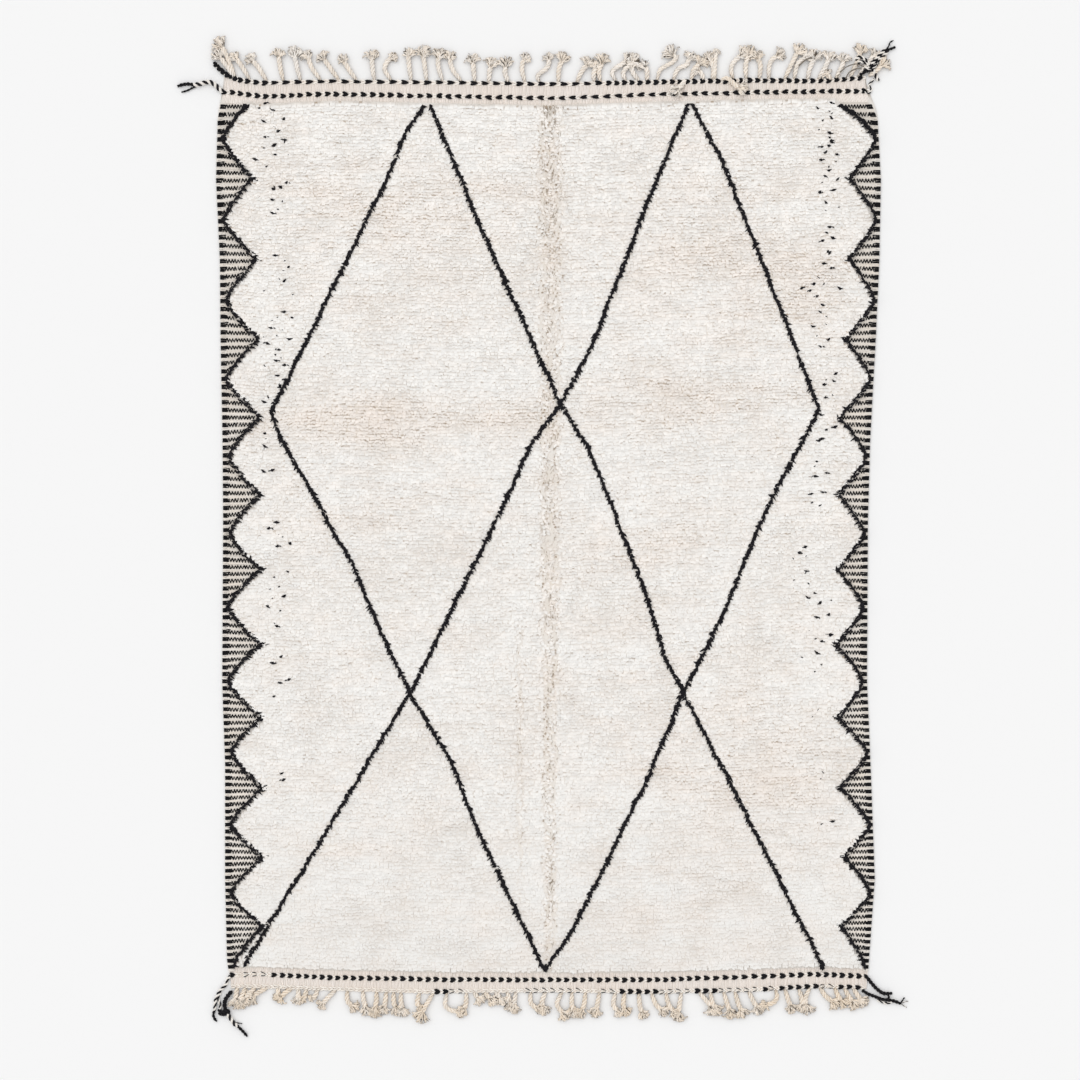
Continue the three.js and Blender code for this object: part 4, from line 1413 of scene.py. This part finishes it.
nearTassels = [
    (-958, [(-962, 28), (-962, 54)], 1.2), (-931, [(-944, 30), (-952, 56)], 1.1),
    (-900, [(-922, 22), (-940, 46)], 1.1), (-868, [(-886, 14), (-918, 34)], 1.05),
    (-830, [(-832, 16), (-834, 34)], 0.8), (-790, [(-808, 14), (-830, 40)], 1.0),
    (-768, [(-770, 20), (-774, 42)], 0.9), (-746, [(-748, 20), (-758, 38)], 0.7),
    (-712, [(-720, 26), (-734, 32)], 0.5), (-656, [(-678, 26), (-700, 54)], 0.8),
    (-620, [(-618, 36), (-596, 56)], 0.9), (-571, [(-568, 36), (-556, 64)], 1.1),
    (-528, [(-530, 36), (-538, 68)], 1.15), (-500, [(-504, 44), (-512, 60)], 0.9),
    (-478, [(-476, 36), (-466, 62)], 1.0), (-452, [(-454, 34), (-446, 66)], 1.0),
    (-399, [(-404, 36), (-390, 48)], 0.6), (-354, [(-374, 36), (-396, 78)], 1.25),
    (-313, [(-318, 42), (-298, 58), (-268, 60)], 0.9), (-251, [(-254, 36), (-262, 62)], 0.9),
    (-228, [(-222, 14), (-206, 26)], 0.95), (-196, [(-186, 16), (-170, 30)], 1.0),
    (-164, [(-156, 12), (-140, 30)], 0.95), (-124, [(-122, 24), (-120, 46)], 1.1),
    (-100, [(-106, 40), (-100, 56)], 1.05), (-56, [(-54, 38), (-28, 60)], 1.0),
    (-8, [(-20, 36), (-8, 60)], 1.0), (41, [(26, 38), (38, 62), (54, 74)], 1.1),
    (74, [(72, 44), (82, 72)], 1.1), (114, [(109, 44), (98, 70)], 1.0),
    (158, [(150, 42), (146, 68)], 1.0), (206, [(200, 44), (222, 64)], 0.9),
    (235, [(230, 42), (240, 64)], 1.0), (278, [(282, 48), (294, 72)], 0.95),
    (317, [(331, 40), (357, 62)], 1.0), (361, [(370, 40), (390, 68)], 1.0),
    (411, [(402, 48), (402, 78)], 1.15), (463, [(482, 26), (509, 58)], 1.15),
    (497, [(504, 36), (519, 64)], 1.1), (539, [(550, 42), (562, 74)], 1.1),
    (574, [(584, 42), (599, 72)], 1.1), (617, [(634, 42), (651, 62)], 1.1),
    (699, [(703, 28), (690, 44), (662, 50)], 0.8), (727, [(740, 44), (750, 66)], 1.0),
    (770, [(780, 42), (784, 66)], 0.9), (803, [(790, 38), (799, 70)], 1.25),
    (836, [(854, 32), (884, 52)], 1.05), (880, [(892, 30), (911, 52)], 1.0),
    (913, [(926, 32), (944, 52)], 1.05), (940, [(954, 28), (969, 46)], 1.0),
]

tassel = {
    "rootJitter": 2,
    "ropeRadius": 7.6,
    "rootOut": 5,  # ropes come out from under the twined row
    "ropeHeight": ([0, 14, 40], [4.6, 7.6, 8.6]),  # along a rope, and its height there
    "ropeThick": ([0, 0.25, 1], [0.55, 0.95, 1.08]),
    "spin": {"plies": 3, "twist": 36, "offset": 0.58, "thickness": 0.48},
    "ropePoints": 14,
    "headLength": 32,
    "fan": 1.0,  # radians to each side
    # dark strands low in each head, painted shade between the curls
    "shadeStrands": {"count": 7, "reach": [-0.1, 0.4, 0.8], "height": [5, 5.5, 3.4], "thick": [2.6, 3.4, 2.6],
             "tone": 0.42},
    "curl": {"count": 24, "radius": 2.7, "thick": [0.9, 1.1, 1.1, 0.85], "turn": [0, 0.1, 0.35, 0.9],
             "turnShare": 1, "top": 12.5, "rise": [-4, 0, -1.5, -5.5]},
    "bit": {"count": 8, "radius": 0.918, "turnShare": 0.4, "rise": [1, 2, 2, 1]},
    "foldedLift": 7,
    "warmth": {"far": 0.1, "near": 0.4},  # the near fringe is browner
}


def stepsAlong(path):
    # how far along a path each of its points lies
    return np.concatenate([[0], np.cumsum(np.linalg.norm(np.diff(path, axis=0), axis=1))])


def curveThrough(corners, count):
    # a smooth path through given corners, with its points evenly apart
    corners = np.asarray(corners, float)
    steps = stepsAlong(corners[:, :2])
    padded = np.vstack([2 * corners[0] - corners[1], corners, 2 * corners[-1] - corners[-2]])
    found = []
    for place in np.interp(np.linspace(0, steps[-1], count), steps, np.arange(len(corners))):
        k = min(int(place), len(corners) - 2)
        t = place - k
        p0, p1, p2, p3 = padded[k:k + 4]
        bend = (2 * p0 - 5 * p1 + 4 * p2 - p3) * t * t + (3 * p1 - p0 - 3 * p2 + p3) * t ** 3
        found.append(0.5 * (2 * p1 + (p2 - p0) * t + bend))
    return np.array(found)


def turnedBy(ahead, angle):
    # one or many directions on the floor, turned from a given one
    side = np.array([-ahead[1], ahead[0]])
    return np.multiply.outer(np.cos(angle), ahead) + np.multiply.outer(np.sin(angle), side)


def headStrands(base, ahead, size, warmth, number):
    # a head: dark strands low inside as painted shade between the curls, short curls in a fan over them, and
    # brown bits between those
    length, fan = tassel["headLength"] * size, tassel["fan"]
    shadeStrands, curl, bit = tassel["shadeStrands"], tassel["curl"], tassel["bit"]
    strands = []

    def addStrand(reach, angle, height, thick, tone, warm):
        x, y = (base + reach[:, None] * turnedBy(ahead, angle)).T
        strands.append(yarn(pathOf(x, y, height), thick, tone, warm))

    for s in range(shadeStrands["count"]):
        angle = ((s + 0.5) / shadeStrands["count"] * 2 - 1) * fan * 0.8
        addStrand(length * np.array(shadeStrands["reach"]), angle, shadeStrands["height"], shadeStrands["thick"], shadeStrands["tone"], 1.0)
    for s in range(curl["count"] + bit["count"]):
        draw = chance(s + 11, number * 7 + np.arange(6))
        isBit = s >= curl["count"]
        angle = (draw[0] * 2 - 1) * fan
        start = 0.1 + 0.75 * draw[1] if isBit else (s % 4 + draw[1]) * 0.15
        end = start + 0.12 + 0.14 * draw[2] if isBit else min(start + 0.5 + 0.15 * draw[2], 1.0)
        share = start + (end - start) * np.array([0, 0.45, 0.8, 1])
        reach = length * share * (1 - 0.18 * (angle / fan) ** 2)
        kind = bit if isBit else curl
        angles = angle + (draw[3] - 0.5) * np.array(curl["turn"]) * kind["turnShare"]
        height = curl["top"] - 4 * start + 2.5 * draw[4] + np.array(kind["rise"])
        thick = kind["radius"] * np.array(curl["thick"])
        tone = 0.2 + 0.25 * draw[5] if isBit else 0.64 + 0.5 * draw[5] ** 0.5
        addStrand(reach, angles, height, thick, tone, 1.0 if isBit else warmth + 0.5 * (draw[4] - 0.5))
    return strands


def makeTassels(name, tassels, line, outward, node):
    ropes, strands = [], []
    for n, (root, bends, headSize) in enumerate(tassels):
        lift = tassel["foldedLift"] if name == "far" and n >= len(farTassels) else 0
        draw = chance(n, np.arange(6) + outward * 3 + 40)
        size = headSize * (0.94 + 0.12 * draw[0])
        warmth = tassel["warmth"][name] + 0.4 * draw[1]
        corners = [(root + (draw[2] - 0.5) * 2 * tassel["rootJitter"], tassel["rootOut"]), *bends]
        x, out = np.array(corners, float).T
        path = curveThrough(np.stack([x, ribAt(line, x) + outward * out], 1), 24)
        steps = stepsAlong(path)
        ropeEnd = max(steps[-1] - 0.5 * tassel["headLength"] * size, 4)
        along = np.linspace(0, ropeEnd, tassel["ropePoints"])
        rope = np.stack([np.interp(along, steps, path[:, k]) for k in range(2)], 1)
        height = np.interp(along, *tassel["ropeHeight"]) + lift
        thick = tassel["ropeRadius"] * np.interp(along / ropeEnd, *tassel["ropeThick"])
        ropes.append(yarn(pathOf(*rope.T, height), thick, 1.06 - 0.05 * draw[5], warmth, draw[3]))
        ahead = rope[-1] - rope[-3]
        ahead = turnedBy(ahead / np.linalg.norm(ahead), (draw[4] - 0.5) * 0.5)
        head = headStrands(rope[-1] - 2 * ahead, ahead, size, warmth, n + outward * 90)
        strands += [(points + [0, 0, lift], values) for points, values in head]
    spinYarns(f"{name}Ropes", ropes, "fringe", "warp_fringe", node, **tassel["spin"])
    spinYarns(f"{name}Heads", strands, "fringe", "warp_fringe", node, sides=3)


# Stray yarns: brown warps that arch over the far right tassels

strayYarns = {
    "radius": 1.9,
    "tone": 0.24,
    "points": 14,
    "paths": [
        [(886, 1412, 8), (898, 1432, 14), (918, 1448, 17), (946, 1456, 17), (970, 1448, 15)],
        [(914, 1412, 8), (924, 1430, 14), (942, 1440, 16), (962, 1444, 14)],
        [(758, 1440, 9), (776, 1456, 14), (792, 1470, 15), (812, 1478, 12)],
    ],
}


def makeStrays():
    found = []
    for path in strayYarns["paths"]:
        points = curveThrough(path, strayYarns["points"])
        found.append(yarn(points, strayYarns["radius"], strayYarns["tone"], 1.0))
    spinYarns("strayYarns", found, "fringe", "warp_fringe", "fringe_far")


# Thin brown strands along the crease, dark yarn put in as painted shade where the pile parts

creaseSlits = {
    "count": 430,
    "radius": 0.8,
    "length": 13,
    "lean": 0.3,
    "leanDraw": 0.6,
    "above": 2.7,  # above the pile's bed
    "sunk": 1.6,  # how much lower its two ends lie
    "widthShare": 0.85,  # of the crease
    "towardsFar": 1.7,  # above 1 more of them lie towards the far end
    # their dark tone is the painted shade
    "tone": 0.52,
}


def makeCreaseShadowStrands():
    n = np.arange(creaseSlits["count"])
    share = chance(n, 3) ** creaseSlits["towardsFar"]
    y = mix(zigzag["bends"][0] - 5, zigzag["bends"][-1] + 40, share)
    halfWidth = mix(crease["farHalfWidth"], crease["nearHalfWidth"], share) * creaseSlits["widthShare"]
    x = crease["across"] + (chance(n, 5) + chance(n, 9) - 1) * halfWidth
    outwards = np.where(x > crease["across"], 1, -1)
    lean = outwards * creaseSlits["lean"] + swing(n, 7) * creaseSlits["leanDraw"]
    half = creaseSlits["length"] * (0.3 + 0.45 * chance(n, 13))
    found = []
    for k in n[fromLines(x, y) > blackLine["clear"] + 6]:
        steps = np.array([-1, 0, 1]) * half[k]
        alongX, alongY = x[k] + steps * math.sin(lean[k]), y[k] + steps * math.cos(lean[k])
        height = bedAt(alongX, alongY) + creaseSlits["above"] - np.array([1, 0, 1]) * creaseSlits["sunk"]
        thick = creaseSlits["radius"] * np.array([0.4, 1, 0.4])
        found.append(yarn(pathOf(alongX, alongY, height), thick, creaseSlits["tone"], 1.0))
    spinYarns("creaseSlits", found, "fringe", "ivory_pile", "rug_body", sides=3)


# Corner yarns: loose ends of the twining, black and cream plied together

cornerYarns = {
    # dye, radius, and the places that each one runs through
    "farLeftTail": ("plied", 7.2, [
        (-1002, 1372, 6), (-1013, 1380, 7), (-1028, 1395, 8), (-1047, 1402, 8), (-1064, 1398, 8),
        (-1081, 1394, 7), (-1098, 1393, 7),
    ]),
    "farLeftProng": ("black", 5.2, [
        (-1090, 1393, 7), (-1108, 1396, 6), (-1126, 1394, 6), (-1142, 1389, 5),
    ]),
    "farLeftOther": ("black", 3.0, [
        (-1086, 1388, 6), (-1098, 1383, 4), (-1112, 1376, 4), (-1130, 1371, 3),
    ]),
    "farRightTail": ("plied", 5.6, [
        (970, 1436, 12), (984, 1447, 15), (997, 1459, 17), (1018, 1483, 12), (1037, 1503, 8),
    ]),
    "farRightBeside": ("plied", 5.0, [
        (982, 1434, 12), (998, 1448, 15), (1012, 1464, 14), (1028, 1480, 10), (1046, 1497, 7),
    ]),
    "farRightTip": ("black", 2.3, [(1038, 1500, 8), (1047, 1512, 6), (1051, 1523, 5), (1062, 1531, 4)]),
    "farRightEnd": ("black", 4.2, [(1036, 1494, 8), (1046, 1501, 6), (1056, 1505, 5), (1068, 1510, 5)]),
    "farRightKnot": ("black", 5.0, [
        (958, 1424, 10), (972, 1431, 13), (988, 1440, 15), (1002, 1452, 17), (1012, 1470, 15),
    ]),
    "farRightRing": ("plied", 3.0, [
        (972, 1444, 15), (984, 1440, 18), (998, 1442, 19), (1008, 1454, 18), (1000, 1462, 18),
    ]),
    "farRightTuft": ("plied", 5.2, [
        (944, 1470, 15), (957, 1477, 17), (970, 1472, 18), (982, 1460, 18), (992, 1450, 17),
    ]),
    "farRightOther": ("plied", 4.6, [(950, 1458, 15), (962, 1463, 17), (976, 1458, 18), (988, 1448, 18)]),
    "farRightBrush": ("plied", 5.4, [(996, 1444, 14), (1002, 1431, 11), (1008, 1419, 8), (1016, 1405, 6)]),
    "farRightLoop": ("plied", 3.8, [
        (973, 1372, 6), (984, 1367, 6), (994, 1379, 6), (986, 1391, 7), (993, 1401, 7), (1003, 1413, 8),
    ]),
    "nearLeftTail": ("plied", 6.4, [
        (-990, -1462, 10), (-984, -1472, 8), (-977, -1482, 8), (-968, -1495, 7), (-957, -1505, 7),
    ]),
    "nearLeftEnd": ("black", 4.6, [(-962, -1500, 7), (-953, -1508, 6), (-939, -1522, 6), (-927, -1536, 5)]),
    "nearLeftFork": ("black", 1.6, [(-968, -1490, 7), (-957, -1494, 5), (-943, -1497, 3)]),
    "nearLeftThick": ("black", 6.4, [
        (-975, -1396, 8), (-985, -1408, 8), (-994, -1421, 8), (-997, -1436, 9), (-994, -1454, 10),
    ]),
    "nearLeftKnot": ("black", 6.0, [
        (-1016, -1456, 9), (-1002, -1458, 13), (-987, -1456, 12), (-984, -1464, 10), (-1000, -1467, 9),
        (-1016, -1464, 8),
    ]),
    "nearLeftLoop": ("plied", 5.2, [
        (-980, -1350, 6), (-988, -1360, 7), (-990, -1372, 7), (-1001, -1385, 7), (-1012, -1396, 7),
        (-1019, -1411, 7), (-1025, -1424, 7), (-1026, -1440, 7), (-1029, -1460, 6),
    ]),
    "nearLeftHook": ("black", 4.0, [
        (-1029, -1456, 6), (-1032, -1470, 5), (-1029, -1480, 5), (-1021, -1490, 5),
    ]),
    "nearLeftInner": ("plied", 4.2, [
        (-1008, -1398, 6), (-1016, -1412, 6), (-1014, -1428, 6), (-1010, -1442, 7), (-1012, -1454, 8),
    ]),
    "nearRightUpper": ("black", 5.9, [
        (972, -1346, 6), (982, -1356, 7), (992, -1369, 7), (1009, -1388, 7), (1028, -1402, 7),
        (1043, -1404, 7), (1058, -1403, 5),
    ]),
    "nearRightCross": ("black", 3.6, [(1044, -1404, 8), (1047, -1412, 11), (1044, -1424, 12)]),
    "nearRightLower": ("black", 5.4, [
        (966, -1394, 6), (984, -1405, 7), (1000, -1411, 7), (1015, -1417, 7), (1030, -1422, 7),
        (1048, -1424, 7), (1067, -1428, 6), (1086, -1436, 5),
    ]),
    "nearRightCurl": ("plied", 3.6, [
        (1012, -1424, 5), (1028, -1430, 6), (1042, -1434, 6), (1054, -1430, 6), (1066, -1422, 6),
    ]),
    "nearRightFrayUp": ("black", 2.4, [(1082, -1434, 6), (1089, -1426, 6), (1096, -1416, 4)]),
    "nearRightFrayOut": ("plied", 1.7, [(1084, -1434, 6), (1096, -1430, 4), (1108, -1428, 3)]),
    "nearRightFrayDown": ("plied", 1.7, [(1084, -1436, 6), (1094, -1441, 4), (1103, -1448, 3)]),
}

cornerYarn = {
    "points": 36,
    "endThick": 0.6,  # at its very end, of its radius
    "spin": {"sides": 6, "plies": 2, "twist": 22, "offset": 0.5, "thickness": 0.58},
}


def makeCorners():
    yarns = {"plied": [], "black": []}
    for n, (dyed, radius, corners) in enumerate(cornerYarns.values()):
        path = curveThrough(corners, cornerYarn["points"])
        thick = radius * np.interp(np.linspace(0, 1, len(path)), [0, 0.9, 1], [1, 1, cornerYarn["endThick"]])
        yarns[dyed].append(yarn(path, thick, phase=chance(n, 1)))
    nodes = ("corner_yarn", "fringe_far", "fringe_near")
    for dyed, some in yarns.items():
        spinYarns(f"{dyed}Corners", some, dyed, "black_yarn", *nodes, **cornerYarn["spin"])


makeStage()
materials = {
    "ivory": woolMaterial("ivoryPile", ivoryWool),
    "side": woolMaterial("sideWeave", sideCotton, 0.1),
    "band": woolMaterial("bandWeave", bandCotton, 0.1),
    "twine": woolMaterial("twineCotton", twineCotton, 0.1),
    "fringe": woolMaterial("fringeCotton", fringeCotton, 0.1),
    "black": woolMaterial("blackWool", blackWool, 0.03),
    "plied": pliedMaterial("pliedYarn"),
}
ivoryShapes = lockShapes("shingle", shingle["shapes"], shingleMesh)
blackShapes = lockShapes("leaf", leaf["shapes"], leafMesh)
lockTree = makeLockTree()
yarnTree = makeYarnTree()
makeGround()
makePile()
makeLozenges()
makeZigzag()
makeFlecks()
makeSelvedges()
makeSideWefts()
makeBands()
makeTwining()
makeTassels("far", farTassels + foldedTassels, "farOuter", 1, "fringe_far")
makeTassels("near", nearTassels, "nearOuter", -1, "fringe_near")
makeStrays()
makeCreaseShadowStrands()
makeCorners()
for shapes in (ivoryShapes, blackShapes):
    for shape in list(shapes.objects):
        bpy.data.objects.remove(shape)
    bpy.data.collections.remove(shapes)
print(f"triangles in all: {sum(triangleCounts)}")
